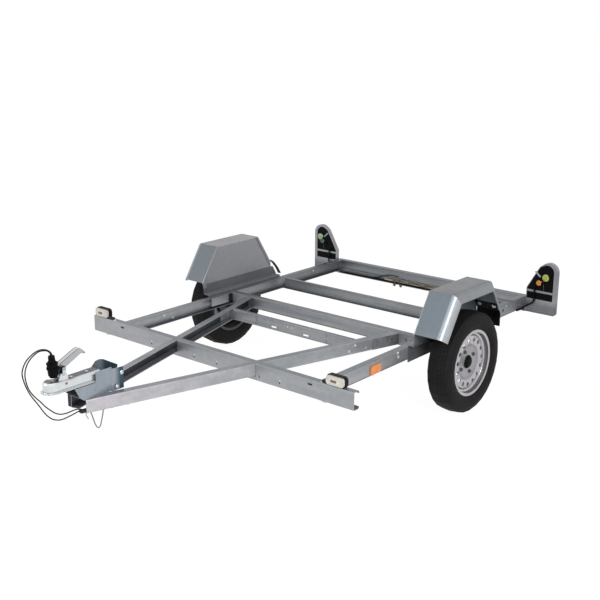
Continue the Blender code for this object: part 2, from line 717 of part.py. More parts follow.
def mudguard(name, side):
    """Folded guard: a roof in three planes, an outer skirt and an inner cheek."""
    ridge = [GUARD_FRONT, GUARD_FRONT_TOP, GUARD_REAR_TOP, GUARD_REAR]
    ends = [ridge[0] * 2 - ridge[1], *ridge, ridge[-1] * 2 - ridge[-2]]
    section = guard_section()
    bm = bmesh.new()
    rows = []
    for before, corner, after in zip(ends, ends[1:], ends[2:]):
        row = []
        for x, drop in section:
            point = offset_corner(before, corner, after, -drop)
            row.append(bm.verts.new((x, point.x, point.y)))
        rows.append(row)
    for row, after in zip(rows, rows[1:]):
        for index in range(len(section) - 1):
            bm.faces.new((row[index], row[index + 1], after[index + 1], after[index]))
    feet = [bm.verts.new((GUARD_X, y, GUARD_FOOT_Z)) for y in (GUARD_REAR.x + 0.003, GUARD_FRONT.x + 0.015)]
    bm.faces.new([row[0] for row in rows] + feet)
    obj = piece(f"mudguard_{name}", "mudguard_steel", bm, side, (GUARD_X, 0.0, GUARD_FOOT_Z))
    shell = obj.modifiers.new("Sheet", "SOLIDIFY")
    shell.thickness = THIN_SHEET
    shell.offset = -1.0
    shell.use_even_offset = True
    return obj


def mud_flap(name, side):
    """Rubber flap under the guard's rear slope that hangs down behind the tyre."""
    slope = (GUARD_REAR - GUARD_REAR_TOP).normalized()
    inward = Vector((slope.y, -slope.x)) * (THIN_SHEET + GAP)
    top = GUARD_REAR - slope * 0.042 + inward
    corner = top + slope * (FLAP_Y - top.x) / slope.x
    path = [(FLAP_Y, FLAP_LOW), tuple(corner), tuple(top)]
    low_x, high_x = GUARD_X + THIN_SHEET + 0.002, GUARD_EDGE_X - 0.006
    outline = folded(path, FLAP_SHEET, bend=0.008, steps=2)
    obj = piece(f"mud_flap_{name}", "black_rubber", side_plate(outline, low_x, high_x), side, (low_x, *top))
    normal = Vector((0.0, *inward)).normalized()
    seat = Vector((low_x, *(top + slope * 0.018))) + normal * FLAP_SHEET
    seats = [seat + X_AXIS * out for out in (0.024, 0.112)]
    join(obj, bolts(seats, normal, head=0.007, height=0.004, depth=0.0013), side)
    under_fold = (fold_start() - FLAP_SHEET, top.x - 0.010, corner.y)
    cut(obj, box(under_fold, (high_x + 0.010, GUARD_REAR.x + GAP, top.y + 0.010)), side)
    return obj


# Lamps


def arc(centre, radius, start, end, steps):
    """Points of a circle's arc, with angles in degrees."""
    points = []
    for step in range(steps + 1):
        angle = math.radians(start + (end - start) * step / steps)
        points.append((centre[0] + radius * math.cos(angle), centre[1] + radius * math.sin(angle)))
    return points


def tower_slope(inset):
    """The sloping inner side under the arch, as far as the neck."""
    left = TOWER_X[0]
    return [
        (left + 0.079 + 0.75 * inset, TOWER_ARCH_Z + 0.0265 - 0.65 * inset),
        (left + 0.066 + 0.87 * inset, TOWER_ARCH_Z + 0.0065 - 0.49 * inset),
        (left + inset, TOWER_NECK_Z - 0.25 * inset),
    ]


def tower_head(inset):
    """The arch over the light unit and its sloping side."""
    centre = (TOWER_X[1] - TOWER_ARCH, TOWER_ARCH_Z)
    return arc(centre, TOWER_ARCH - inset, 0, 122, 7) + tower_slope(inset)


def tower_outline(inset=0.0):
    """The light tower from the front, drawn anticlockwise from the foot at the rail."""
    low = TOWER_LOW + inset
    foot = [(RAIL_X + GAP + inset, low), *arc((TOWER_X[1] - 0.012 - inset, low + 0.012), 0.012, -90, 0, 3)]
    shoulder = TOWER_LOW + 0.080 - inset
    neck = [(TOWER_X[0] + inset, shoulder), (RAIL_X + GAP + inset, shoulder)]
    return foot + tower_head(inset) + neck


def tower_window():
    """The opening above the foot. Its border is wide on the outer side only."""
    edge = 2 * TOWER_SHEET
    right = TOWER_X[1] - TOWER_BORDER
    radius = TOWER_ARCH - 0.012
    crown = arc((right - radius, TOWER_ARCH_Z - 0.002), radius, 0, 122, 7)
    return [(TOWER_X[0] + edge, WINDOW_LOW), (right, WINDOW_LOW), *crown, *tower_slope(edge)]


def light_tower(name, side):
    """Front plate with a rim folded back, open to the rear, and a tab on the rail."""
    made = front_plate(tower_outline(), TOWER_Y, TOWER_Y + TOWER_DEPTH)
    obj = piece(f"light_tower_{name}", "galvanised_steel", made, side, (RAIL_X, TOWER_Y, TOWER_LOW))
    cut(obj, front_plate(tower_outline(TOWER_SHEET), TOWER_Y + TOWER_SHEET, TOWER_Y + 0.1), side)
    cut(obj, front_plate(tower_window(), TOWER_Y - 0.01, TOWER_Y + 0.01), side)
    low_strip = (TOWER_X[0] + 0.001, TOWER_Y, WINDOW_LOW + 0.0425)
    high_strip = (TOWER_X[1] - 0.015, TOWER_Y + TOWER_SHEET, WINDOW_LOW + 0.055)
    join(obj, box(low_strip, high_strip), side)
    face = RAIL_X + GAP
    tab_low = (face, TOWER_Y - 0.092, TOWER_LOW + 0.020)
    tab_high = (face + SHEET, TOWER_Y + 0.010, TOWER_LOW + 0.0645)
    join(obj, box(tab_low, tab_high), side)
    join(obj, bolts([(face + SHEET, TOWER_Y - 0.0694, TOWER_LOW + 0.0485)], X_AXIS), side)
    return obj


def lamp_outline():
    inset = TOWER_SHEET + 3 * GAP
    low = WINDOW_LOW - 0.0045
    return [(TOWER_X[0] + inset, low), (TOWER_X[1] - inset, low), *tower_head(inset)]


def lamp_housing(name, side):
    """Black back of the rear light unit, with its two bulb holders."""
    front = TOWER_Y + TOWER_SHEET + GAP
    made = front_plate(lamp_outline(), front, LAMP_BACK)
    x, z = LAMP_MIDDLE
    obj = piece(f"rear_lamp_housing_{name}", "black_plastic", made, side, (x, front, z))
    holders = bmesh.new()
    for x, z in ((x + 0.040, z + 0.0555), (x, z + 0.0155)):
        add_rod(holders, (x, front + 0.005, z), (x, front - 0.006, z), 0.012, steps=12)
    join(obj, holders, side)
    return obj


def lamp_lens(name, side):
    end = LAMP_BACK + LENS_DEPTH
    made = front_plate(lamp_outline(), LAMP_BACK + GAP, end)
    x, z = LAMP_MIDDLE
    return piece(f"rear_lamp_lens_{name}", "red_lens", made, side, (x, end, z))


def rounded_outline(centre, width, height, radius, steps=3):
    cx, cy = centre
    outline = []
    for sx, sy, start in ((1, -1, -90), (1, 1, 0), (-1, 1, 90), (-1, -1, 180)):
        corner = (cx + sx * (width / 2 - radius), cy + sy * (height / 2 - radius))
        outline += arc(corner, radius, start, start + 90, steps)
    return outline


def marker_lamp(name, side):
    """Front position lamp on the beam: a rubber base and its lens."""
    back = BEAM_Y + 0.030
    face = back - 0.022 - GAP
    rim = 0.008
    centre = (BEAM_HALF + side * BEAM_SHIFT - MARKER_INSET[name], BEAM_TOP + GAP + MARKER_HEIGHT / 2)
    outline = rounded_outline(centre, MARKER_WIDTH, MARKER_HEIGHT, 0.016)
    base = front_plate(outline, back - 0.022, back)
    piece(f"marker_lamp_base_{name}", "black_rubber", base, side, (centre[0], back, BEAM_TOP))
    outline = rounded_outline(centre, MARKER_WIDTH - rim, MARKER_HEIGHT - rim, 0.013)
    lens = front_plate(outline, face - 0.012, face)
    piece(f"marker_lens_{name}", "cream_lens", lens, side, (centre[0], face, centre[1]))


def side_reflector(name, side):
    centre = (-0.594, RAIL_MIDDLE - 0.0055)
    made = side_plate(rounded_outline(centre, 0.082, 0.045, 0.007), RAIL_X + GAP, RAIL_X + 0.007)
    return piece(f"side_reflector_{name}", "amber_lens", made, side, (RAIL_X, *centre))


# Coupling


def head_profile(top):
    """(distance from the middle, height) from the lip's edge over the wall to the crown."""
    lip = BRACKET_X - SHEET - GAP
    wall = [(lip, HEAD_LIP_Z), (HEAD_HALF, HEAD_LIP_Z), (HEAD_HALF, top - 0.011)]
    return wall + [(HEAD_HALF - 0.006, top - 0.0025), (HEAD_HALF - 0.012, top), (0.0, top)]


def head_stations(nose_steps=8):
    """(y, direction outwards, top) from the left tail forward, round the nose and back on the right."""
    neck = [
        (TAIL_Y, HEAD_TOP), (NOSE_Y + 0.084, HEAD_TOP), (NOSE_Y + 0.054, HEAD_TOP + 0.002),
        (NOSE_Y + 0.023, HEAD_TOP + 0.0045), (NOSE_Y, NOSE_TOP),
    ]
    stations = [(y, (1.0, 0.0), top) for y, top in neck]
    for step in range(1, nose_steps):
        angle = math.pi * step / nose_steps
        stations.append((NOSE_Y, (math.cos(angle), -math.sin(angle)), NOSE_TOP))
    return stations + [(y, (-1.0, 0.0), top) for y, top in neck[::-1]]


def head_shell():
    """The head's outer skin. Stations at one y share the vertex on its crown."""
    bm = bmesh.new()
    crowns = {}
    rows = []
    for y, (out_x, out_y), top in head_stations():
        points = head_profile(top)
        row = [bm.verts.new((out_x * reach, y + out_y * reach, z)) for reach, z in points[:-1]]
        if y not in crowns:
            crowns[y] = bm.verts.new((0.0, y, top))
        rows.append(row + [crowns[y]])
    for row, after in zip(rows, rows[1:]):
        for index in range(len(row) - 1):
            corners = (row[index], row[index + 1], after[index + 1], after[index])
            bm.faces.new(list(dict.fromkeys(corners)))
    return bm


def coupling_head():
    """Pressed shell with an outward lip, an opening over the latch and two lugs for the handle."""
    obj = piece("coupling_head", "zinc_plated_steel", head_shell(), origin=(0.0, HANDLE_PIVOT.y, HEAD_LIP_Z))
    shell = obj.modifiers.new("Sheet", "SOLIDIFY")
    shell.thickness = SHEET
    shell.offset = -1.0
    shell.use_even_offset = True
    join(obj, handle_lugs())
    pivot_y = HANDLE_PIVOT.y
    recess = HEAD_TOP - 0.0012
    above = NOSE_TOP + 0.01
    slots = box((0.001 - LUG_X, pivot_y - 0.030, HEAD_LIP_Z), (LUG_X - 0.001, pivot_y + 0.018, above))
    add_box(slots, (-0.022, pivot_y + 0.023, recess), (0.022, TAIL_Y - 0.035, above))
    add_rod(slots, HANDLE_PIVOT - X_AXIS * 0.1, HANDLE_PIVOT + X_AXIS * 0.1, PIN_RADIUS + GAP)
    cut(obj, slots)
    seats = [(0.0083, pivot_y + 0.046, recess), (0.0041, TAIL_Y - 0.054, recess)]
    join(obj, bolts(seats, (0.0, 0.0, 1.0), head=0.0075, height=0.0045, depth=0.001))
    return obj


def handle_lugs():
    """Two ears on the head that carry the handle's pin."""
    lugs = bmesh.new()
    y, z = HANDLE_PIVOT.y, HANDLE_PIVOT.z
    outline = [(y - 0.028, HEAD_TOP - 0.001), (y + 0.028, HEAD_TOP - 0.001), *arc((y, z), 0.016, 20, 160, 5)]
    for low_x, high_x in ((-LUG_X - 0.004, -LUG_X), (LUG_X, LUG_X + 0.004)):
        add_copy(lugs, side_plate(outline, low_x, high_x))
    return lugs


def from_pivot(points):
    """Places (y, z) points that are given from the handle's pivot."""
    return [(HANDLE_PIVOT.y + along, HANDLE_PIVOT.z + up) for along, up in points]


def coupling_handle():
    """Lever pressed as a channel, open below, with a boss on its pin and a hooked tip."""
    outline = from_pivot((
        (-0.016, -0.014), (0.016, -0.014), (0.019, 0.027), (0.102, 0.067), (0.120, 0.0615), (0.125, 0.0645),
        (0.115, 0.0785), (0.099, 0.091), (0.082, 0.0882), (-0.002, 0.0505), (-0.013, 0.038),
    ))
    hollow = from_pivot((
        (-0.0135, -0.020), (0.022, -0.020), (0.025, 0.021), (0.1005, 0.058), (0.0985, 0.0882),
        (0.083, 0.0859), (0.0, 0.0478), (-0.0105, 0.0375),
    ))
    made = side_plate(outline, -HANDLE_HALF, HANDLE_HALF)
    obj = piece("coupling_handle", "zinc_plated_steel", made, origin=HANDLE_PIVOT)
    inner = HANDLE_HALF - 0.0025
    cut(obj, side_plate(hollow, -inner, inner))
    reach = X_AXIS * (LUG_X - 0.0007)
    boss = bmesh.new()
    add_rod(boss, HANDLE_PIVOT - reach, HANDLE_PIVOT + reach, 0.012, steps=16)
    join(obj, boss)
    bore = bmesh.new()
    add_rod(bore, HANDLE_PIVOT - X_AXIS * 0.1, HANDLE_PIVOT + X_AXIS * 0.1, PIN_RADIUS + GAP)
    cut(obj, bore)
    return obj


def handle_pin():
    shank = LUG_X + 0.004 + GAP
    end = shank + 0.0037
    head = 0.0075
    profile = [
        (-end, head), (-shank, head), (-shank, PIN_RADIUS), (shank, PIN_RADIUS), (shank, head), (end, head),
    ]
    made = turned(profile, steps=12, origin=HANDLE_PIVOT)
    return piece("handle_pin", "zinc_plated_steel", made, origin=HANDLE_PIVOT)


def coupling_latch():
    """The jaw under the handle that closes round the ball."""
    jaw = (
        (-0.036, -0.022), (-0.024, -0.028), (-0.010, -0.018), (0.006, -0.014), (0.010, 0.014),
        (-0.006, 0.016), (-0.018, 0.004),
    )
    outline = [(LATCH_PIVOT.y + along, LATCH_PIVOT.z + up) for along, up in jaw]
    obj = piece("coupling_latch", "shaded_steel", side_plate(outline, -0.0135, 0.0135), origin=LATCH_PIVOT)
    reach = X_AXIS * (HEAD_HALF - SHEET - GAP)
    shaft = bmesh.new()
    add_rod(shaft, LATCH_PIVOT - reach, LATCH_PIVOT + reach, PIN_RADIUS)
    join(obj, shaft)
    return obj


def hump_outline(low, step_y):
    """The right wall behind the step: a tongue to the rear and a round hump over the head's tail."""
    back = BRACKET_FOOT[1]
    tongue = [(back, low), (back, low + 0.024), (back + 0.056, low + 0.060), (back + 0.056, low + 0.0715)]
    crown = HEAD_TOP + 0.0153
    hump = [
        (TAIL_Y + 0.0843, crown - 0.0061), (TAIL_Y + 0.0614, crown), (TAIL_Y + 0.0382, crown - 0.0034),
        (TAIL_Y + 0.014, crown - 0.0258), (step_y, crown - 0.0258),
    ]
    return tongue + hump


def coupling_bracket():
    """Bracket on the drawbars that holds the head's tail. Its right wall is the taller one."""
    low = RAIL_TOP + GAP
    front, back = BRACKET_FOOT
    shelf = HEAD_LIP_Z - SHEET - 0.0025
    step_y = TAIL_Y - 0.040
    bend_y = TAIL_Y + 0.050
    wall_top = HEAD_TOP + 0.0035
    foot = box((-BRACKET_X, front, low), (BRACKET_X, back, low + SHEET))
    obj = piece("coupling_bracket", "galvanised_steel", foot, origin=(0.0, front, low))
    nose = [(step_y, shelf), (front - 0.044, shelf), (front - 0.021, low + 0.018), (front, low)]
    near = [(bend_y, low), (bend_y, wall_top), (step_y, wall_top)]
    join(obj, side_plate(near + nose, BRACKET_X - SHEET, BRACKET_X))
    join(obj, side_plate(hump_outline(low, step_y) + nose, -BRACKET_X, SHEET - BRACKET_X))
    start = bend_y - SHEET
    end_x = BRACKET_X + 0.0105
    flare = [
        (BRACKET_X - SHEET + 0.0005, start), (BRACKET_X - 0.0005, start), (end_x, back),
        (end_x - SHEET, back),
    ]
    join(obj, upright(flare, low + SHEET / 2, HEAD_TOP - 0.006))
    side_seat = (end_x - 0.0017, back - 0.009, low + 0.0757)
    join(obj, bolts([side_seat], X_AXIS, head=0.007, height=0.005))
    foot_seat = (BRACKET_X - 0.008, back - 0.022, low + SHEET)
    join(obj, bolts([foot_seat], (0.0, 0.0, 1.0), head=0.007, height=0.005))
    return obj


# Plug, leads, wires


def plug():
    """Seven-pin plug hanging from its lead, pins down."""
    x, y, z = PLUG_TOP
    profile = [
        (0.0, 0.0), (0.0, 0.0135), (0.003, 0.0145), (0.024, 0.0155), (0.027, 0.0195), (0.031, 0.0195),
        (0.032, 0.0255), (0.039, 0.0255), (0.040, 0.0235), (0.086, 0.0225), (0.098, 0.016), (0.098, 0.0),
    ]
    made = turned(profile, steps=20, origin=(x, y, z), axis=(0.0, 0.05, -1.0))
    return piece("plug", "black_plastic", made, origin=PLUG_TOP, smooth=True)


def plug_holder():
    """Ring round the plug on an arm from the handle's lug."""
    x, y, z = PLUG_TOP
    ring = [(0.052, 0.0240), (0.052, 0.0265), (0.060, 0.0265), (0.060, 0.0240)]
    made = turned(ring, steps=20, origin=(x, y, z), axis=(0.0, 0.05, -1.0), closed=True)
    obj = piece("plug_holder", "black_plastic", made, origin=PLUG_TOP)
    inner = LUG_X + 0.004 + GAP
    join(obj, box((inner, y + 0.0175, z - 0.059), (inner + 0.003, y + 0.050, z - 0.053)))
    join(obj, box((inner, y + 0.027, z - 0.084), (inner + 0.003, y + 0.037, z - 0.054)))
    return obj


def smooth_route(points, spacing):
    """Even points on a smooth curve through the chosen route points."""
    points = [Vector(point) for point in points]
    ends = [points[0] * 2 - points[1], *points, points[-1] * 2 - points[-2]]
    dense = []
    for a, b, c, d in zip(ends, ends[1:], ends[2:], ends[3:]):
        for step in range(20):
            t = step / 20
            bend = (2 * a - 5 * b + 4 * c - d) * t**2 + (3 * b - 3 * c + d - a) * t**3
            dense.append(0.5 * (2 * b + (c - a) * t + bend))
    dense.append(points[-1])
    route = [dense[0]]
    travelled = 0.0
    for before, after in zip(dense, dense[1:]):
        travelled += (after - before).length
        if travelled >= spacing:
            route.append(after)
            travelled = 0.0
    route[-1] = dense[-1]
    return route


def tube(name, material, points, diameter, resolution=2):
    curve = bpy.data.curves.new(name, "CURVE")
    curve.dimensions = "3D"
    curve.bevel_depth = diameter / 2
    curve.bevel_resolution = resolution
    curve.use_fill_caps = True
    spline = curve.splines.new("POLY")
    spline.points.add(len(points) - 1)
    for slot, point in zip(spline.points, points):
        slot.co = (*point, 1.0)
    curve.materials.append(PAINT[material])
    obj = bpy.data.objects.new(name, curve)
    obj.parent = ROOT
    PARTS.objects.link(obj)
    return obj


def leads():
    """The two lamp leads that leave the plug and run into the drawbars."""
    outer = [
        (0.005, -1.972, 0.6249), (0.005, -1.9725, 0.6330), (0.0045, -1.983, 0.6480),
        (0.004, -2.0046, 0.6610), (0.004, -2.0296, 0.6662), (0.0035, -2.0542, 0.6620),
        (0.003, -2.0798, 0.6499), (0.0025, -2.1014, 0.6337), (0.002, -2.1180, 0.6080),
        (0.0015, -2.1240, 0.5800), (0.001, -2.1157, 0.5408), (0.0023, -2.1039, 0.5070),
        (0.0037, -2.0868, 0.4722), (0.005, -2.0570, 0.4260), (0.0073, -2.0285, 0.3787),
        (0.0097, -2.0054, 0.3518), (0.0125, -1.9829, 0.3365), (0.020, -1.9516, 0.3300),
        (0.0283, -1.9035, 0.3387), (0.037, -1.8658, 0.3485), (0.0425, -1.8300, 0.3395),
        (0.046, -1.7900, 0.3381),
    ]
    inner = [
        (-0.005, -1.972, 0.6251), (-0.005, -1.9725, 0.6330), (-0.005, -1.9860, 0.6475),
        (-0.005, -2.0063, 0.6546), (-0.0053, -2.0300, 0.6560), (-0.0055, -2.0520, 0.6480),
        (-0.0055, -2.0750, 0.6334), (-0.0058, -2.0930, 0.6120), (-0.006, -2.1047, 0.5801),
        (-0.0053, -2.1034, 0.5420), (-0.0047, -2.0892, 0.4978), (-0.004, -2.0620, 0.4580),
        (-0.0007, -2.0438, 0.4368), (0.0027, -2.0223, 0.4084), (0.006, -2.0008, 0.3861),
        (0.010, -1.9787, 0.3660), (0.014, -1.9557, 0.3545), (0.018, -1.9326, 0.3510),
        (0.023, -1.9093, 0.3535), (0.028, -1.8860, 0.3575), (0.032, -1.8620, 0.3540),
        (0.035, -1.8300, 0.3405), (0.038, -1.7900, 0.3381),
    ]
    tube("lead_left", "black_rubber", smooth_route(outer, LEAD_SPACING), LEAD_DIAMETER)
    tube("lead_right", "black_rubber", smooth_route(inner, LEAD_SPACING), LEAD_DIAMETER)


def wire_loop():
    """Bent wire that hangs under the left drawbar."""
    low = RAIL_TOP - DRAWBAR_HEIGHT - GAP
    points = [
        (0.0490, -1.8160, low), (0.0490, -1.8160, low - 0.008), (0.0500, -1.8122, 0.3156),
        (0.0520, -1.8068, 0.2929), (0.0540, -1.8005, 0.2701), (0.0560, -1.7928, 0.2535),
        (0.0580, -1.7835, 0.2475), (0.0595, -1.7755, 0.2557), (0.0610, -1.7685, 0.2807),
        (0.0625, -1.7626, 0.3034), (0.0635, -1.7590, low - 0.008), (0.0635, -1.7590, low),
    ]
    return tube("wire_loop", "zinc_plated_steel", points, 0.006)


def rear_harness():
    """Lamp cable clipped along the rear member's lower flange."""
    floor = RAIL_TOP - REAR_HEIGHT + SHEET + GAP
    y = REAR_MEMBER_Y - 0.022
    points = []
    for step in range(12):
        x = 0.12 * step - 0.66
        points.append((x, y + 0.004 * math.sin(x * 14.0), floor + 0.0045))
    return tube("rear_harness", "black_rubber", points, 0.008)


def tower_cable(name, side):
    """Cable from the light unit to the rail."""
    front = TOWER_Y + TOWER_SHEET
    web = RAIL_X + GAP
    route = [
        (0.774, front - 0.0036, 0.4640), (0.774, front - 0.0075, 0.4630), (0.7755, front - 0.009, 0.4550),
        (0.7765, front - 0.0105, 0.4440), (0.7775, front - 0.011, 0.4300), (0.7765, front - 0.0115, 0.4068),
        (0.7770, front - 0.0125, 0.3862), (0.7700, front - 0.0145, 0.3690), (0.7520, front - 0.021, 0.3563),
        (0.7330, front - 0.031, 0.3455), (0.7245, front - 0.043, 0.3350), (0.7236, front - 0.059, 0.3325),
        (0.7236, front - 0.087, 0.3315), (0.7236, front - 0.101, 0.3312), (0.7205, front - 0.109, 0.3310),
        (web + 0.0050, front - 0.1115, 0.3310),
    ]
    points = smooth_route([(x * side, y, z) for x, y, z in route], 0.010)
    return tube(f"tower_cable_{name}", "black_rubber", points, 0.010, resolution=1)


def build():
    front_beam()
    cross_members()
    coupling_head()
    coupling_handle()
    handle_pin()
    coupling_latch()
    coupling_bracket()
    plug()
    plug_holder()
    leads()
    wire_loop()
    rear_harness()
    sided = (
        drawbar, side_rail, slotted_bracket, drawbar_bracket, axle_plate, torsion_tube, rubber_core,
        suspension_arm, wheel_bearing, hub, hub_cap, rim, tyre, mudguard, mud_flap, light_tower,
        lamp_housing, lamp_lens, marker_lamp, side_reflector, tower_cable,
    )
    for name, side in SIDES:
        for make in sided:
            make(name, side)


clear_scene()
PARTS = collection("trailer_chassis")
CUTTERS = collection("cutters", hidden=True)
PAINT = {name: make_material(name) for name in MATERIALS}
ROOT = bpy.data.objects.new("axle_line", None)
ROOT.location = (0.0, AXLE_Y, 0.0)
PARTS.objects.link(ROOT)
build()
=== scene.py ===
"""The looks of a light car trailer chassis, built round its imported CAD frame."""

import math

import bmesh
import bpy
from mathutils import Matrix, Vector

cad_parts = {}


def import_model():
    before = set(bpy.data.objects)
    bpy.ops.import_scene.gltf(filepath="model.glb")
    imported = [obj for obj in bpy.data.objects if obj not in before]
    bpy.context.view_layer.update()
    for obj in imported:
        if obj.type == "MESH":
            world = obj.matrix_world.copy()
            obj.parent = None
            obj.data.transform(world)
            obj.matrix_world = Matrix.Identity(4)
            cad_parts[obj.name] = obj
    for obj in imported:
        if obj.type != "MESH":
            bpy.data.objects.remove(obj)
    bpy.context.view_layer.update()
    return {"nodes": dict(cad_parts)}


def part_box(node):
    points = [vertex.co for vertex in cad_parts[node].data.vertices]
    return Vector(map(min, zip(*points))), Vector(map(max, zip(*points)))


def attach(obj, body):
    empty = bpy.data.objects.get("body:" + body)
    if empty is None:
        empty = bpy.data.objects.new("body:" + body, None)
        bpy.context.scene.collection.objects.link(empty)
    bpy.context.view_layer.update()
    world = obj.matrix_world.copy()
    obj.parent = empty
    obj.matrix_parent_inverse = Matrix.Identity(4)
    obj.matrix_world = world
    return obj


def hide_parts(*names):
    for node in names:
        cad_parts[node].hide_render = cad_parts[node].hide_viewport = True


SIDES = (("left", 1), ("right", -1))
UP = (0.0, 0.0, 1.0)
ACROSS = (1.0, 0.0, 0.0)
BACKWARD = (0.0, 1.0, 0.0)
FORWARD = (0.0, -1.0, 0.0)

# Wheels: WHEEL_X is the middle of the tyre, and circles are radii about the axle

AXLE_Y = 0.5202
AXLE_Z = 0.2735
WHEEL_X = 0.862
TREAD_START = 0.2660
GROOVE_PITCH = 0.021
WALL_RING_PITCH = 0.0085
RIM_STEPS = 72
VENTS = 15
VENT_CIRCLE = 0.121
VENT_RADIUS = 0.0118
VENT_START_X = 0.885
VENT_CUT = 0.030
FIRST_VENT = math.radians(50.0)
WHEEL_BOLTS = 4
BOLT_CIRCLE = 0.065
BOLT_SEAT_X = 0.8834
FIRST_BOLT = math.radians(25.0)

# The rim's section as (distance outboard of the tyre's middle, radius)

TYRE_SEAT = (
    (0.0560, 0.1765), (0.0545, 0.1788), (0.0522, 0.1786), (0.0508, 0.1760), (0.0500, 0.1655),
    (0.0330, 0.1640), (0.0260, 0.1490), (-0.0120, 0.1490), (-0.0300, 0.1640), (-0.0500, 0.1655),
    (-0.0508, 0.1760), (-0.0545, 0.1790),
)
INBOARD_SIDE = ((-0.0535, 0.1625), (-0.0320, 0.1610), (-0.0140, 0.1452), (0.0030, 0.1411), (0.0265, 0.1411))
DISC_BACK = ((0.0333, 0.1200), (0.0270, 0.0970), (0.0175, 0.0830), (0.0175, 0.0370))
DISC_FACE = (
    (0.0215, 0.0370), (0.0215, 0.0800), (0.0228, 0.0835), (0.0300, 0.0945), (0.0345, 0.1020),
    (0.0368, 0.1120), (0.0373, 0.1200), (0.0368, 0.1290), (0.0345, 0.1385), (0.0318, 0.1435),
    (0.0262, 0.1452),
)
OUTBOARD_SIDE = ((0.0275, 0.1490), (0.0310, 0.1580), (0.0345, 0.1606), (0.0535, 0.1625))
RIM_PROFILE = TYRE_SEAT + INBOARD_SIDE + DISC_BACK + DISC_FACE + OUTBOARD_SIDE

# Painted rings of light and shade on the rim as (inner radius, outer radius, tint)

RIM_LIGHT_AND_SHADE = (
    (0.1590, 0.1632, (0.34, 0.33, 0.33)),
    (0.1490, 0.1590, (1.20, 1.19, 1.20)),
    (0.1435, 0.1490, (0.25, 0.24, 0.25)),
    (0.1330, 0.1400, (1.20, 1.19, 1.20)),
    (0.0820, 0.0960, (0.66, 0.66, 0.68)),
)

# Frame: bolts are (y, z), or (distance along the drawbar, z)

RAIL_X = 0.7145
RAIL_TOP = 0.396
SHEET = 0.003
# The heights of the webs' foot, where painted shade darkens the webs
WEB_FOOT_SHADE = (0.3262, 0.3345)
MIDDLE_BOLTS = ((0.1225, 0.3853), (0.1290, 0.3644))
INNER_BOLTS = ((-0.1552, 0.3643), (-0.0859, 0.3332))
DRAWBAR_LOW = 0.332
DRAWBAR_FRONT = (0.0538, -1.3231)
DRAWBAR_SPLAY = math.radians(16.2)
DRAWBAR_TURN = (math.cos(DRAWBAR_SPLAY), math.sin(DRAWBAR_SPLAY))
DRAWBAR_BOLTS = ((1.44, 0.352), (1.48, 0.378), (1.55, 0.352), (1.66, 0.364), (1.70, 0.380))
DRAWBAR_FOOT_BOLTS = (0.0865, 0.128, 0.205)
BEAM_FRONT = -0.4853
BEAM_RIVETS = ((0.7001, -0.4758, 0.3993), (-0.7620, -0.4758, 0.3993))
SLOTTED_FRONT = 0.1202

# Guards: lines are (y from the axle, z), the rear slope's normal is (back, up), the edge is (x, drop)

GUARD_X = 0.7538
GUARD_LINE = ((-0.320, 0.4755), (-0.190, 0.6775), (0.178, 0.6775), (0.297, 0.4941))
GUARD_REAR_NORMAL = (0.8389, 0.5443)
GUARD_FOOT_Z = 0.4165
GUARD_FOLD = 0.028
GUARD_FOLD_X = 0.906
GUARD_EDGE = (0.930, 0.045)
GUARD_SHEET = 0.0015
FLAP_BOLTS = (0.7813, 0.8693)
FLAP_LINE = (
    (0.3000, 0.5050), (0.3136, 0.4994), (0.3303, 0.4877), (0.3499, 0.4687), (0.3747, 0.4405),
    (0.3946, 0.4097), (0.4000, 0.3980),
)

# Towers: the spots are (x, z) of the bulb's cap, the indicator's cap and the clip

TOWER_FRONT = 1.4672
LAMP_FRONT = 1.4695
LAMP_SPOTS = {
    "left": ((0.8389, 0.5300), (0.7969, 0.4920), (0.7885, 0.5458)),
    "right": ((0.8620, 0.5370), (0.8420, 0.5070), (0.8110, 0.5540)),
}
BULB_CAP = ((0.0, 0.0), (0.0, 0.0215), (0.006, 0.0215), (0.0095, 0.0185), (0.0105, 0.0135), (0.0105, 0.0))
INDICATOR_CAP = ((0.0, 0.0), (0.0, 0.0165), (0.005, 0.0165), (0.008, 0.0135), (0.0085, 0.0))
LAMP_WIRE = (
    (0.8264, 0.0010, 0.5105), (0.8270, 0.0042, 0.5050), (0.8300, 0.0040, 0.4700), (0.8311, 0.0014, 0.4480),
)
FOOT_FOLDS = ((0.3085, 0.3135, 0.0035), (0.3290, 0.3345, 0.0022))

# Coupling

HEAD_TOP = 0.5045
HEAD_LIP_Z = 0.4655
HEAD_HALF = 0.036
BRACKET_X = 0.0588
BRACKET_BOLTS = ((-1.1208, 0.4720), (-1.1488, 0.4111))
LEAD_DIAMETER = 0.0055

# Light and camera

FLOOR_SHARE = 0.85
FLOOR_GLOW = 1.12
SKY = 0.38
VIEW_AZIMUTH = math.radians(40.9463)
VIEW_ELEVATION = math.radians(15.6682)
VIEW_DISTANCE = 6.1881
VIEW_TARGET = (-0.5427, 0.1368 + AXLE_Y, 0.3555)
VIEW_LENS = 59.586
VIEW_SHIFT = (0.035136, -0.011466)


# Materials


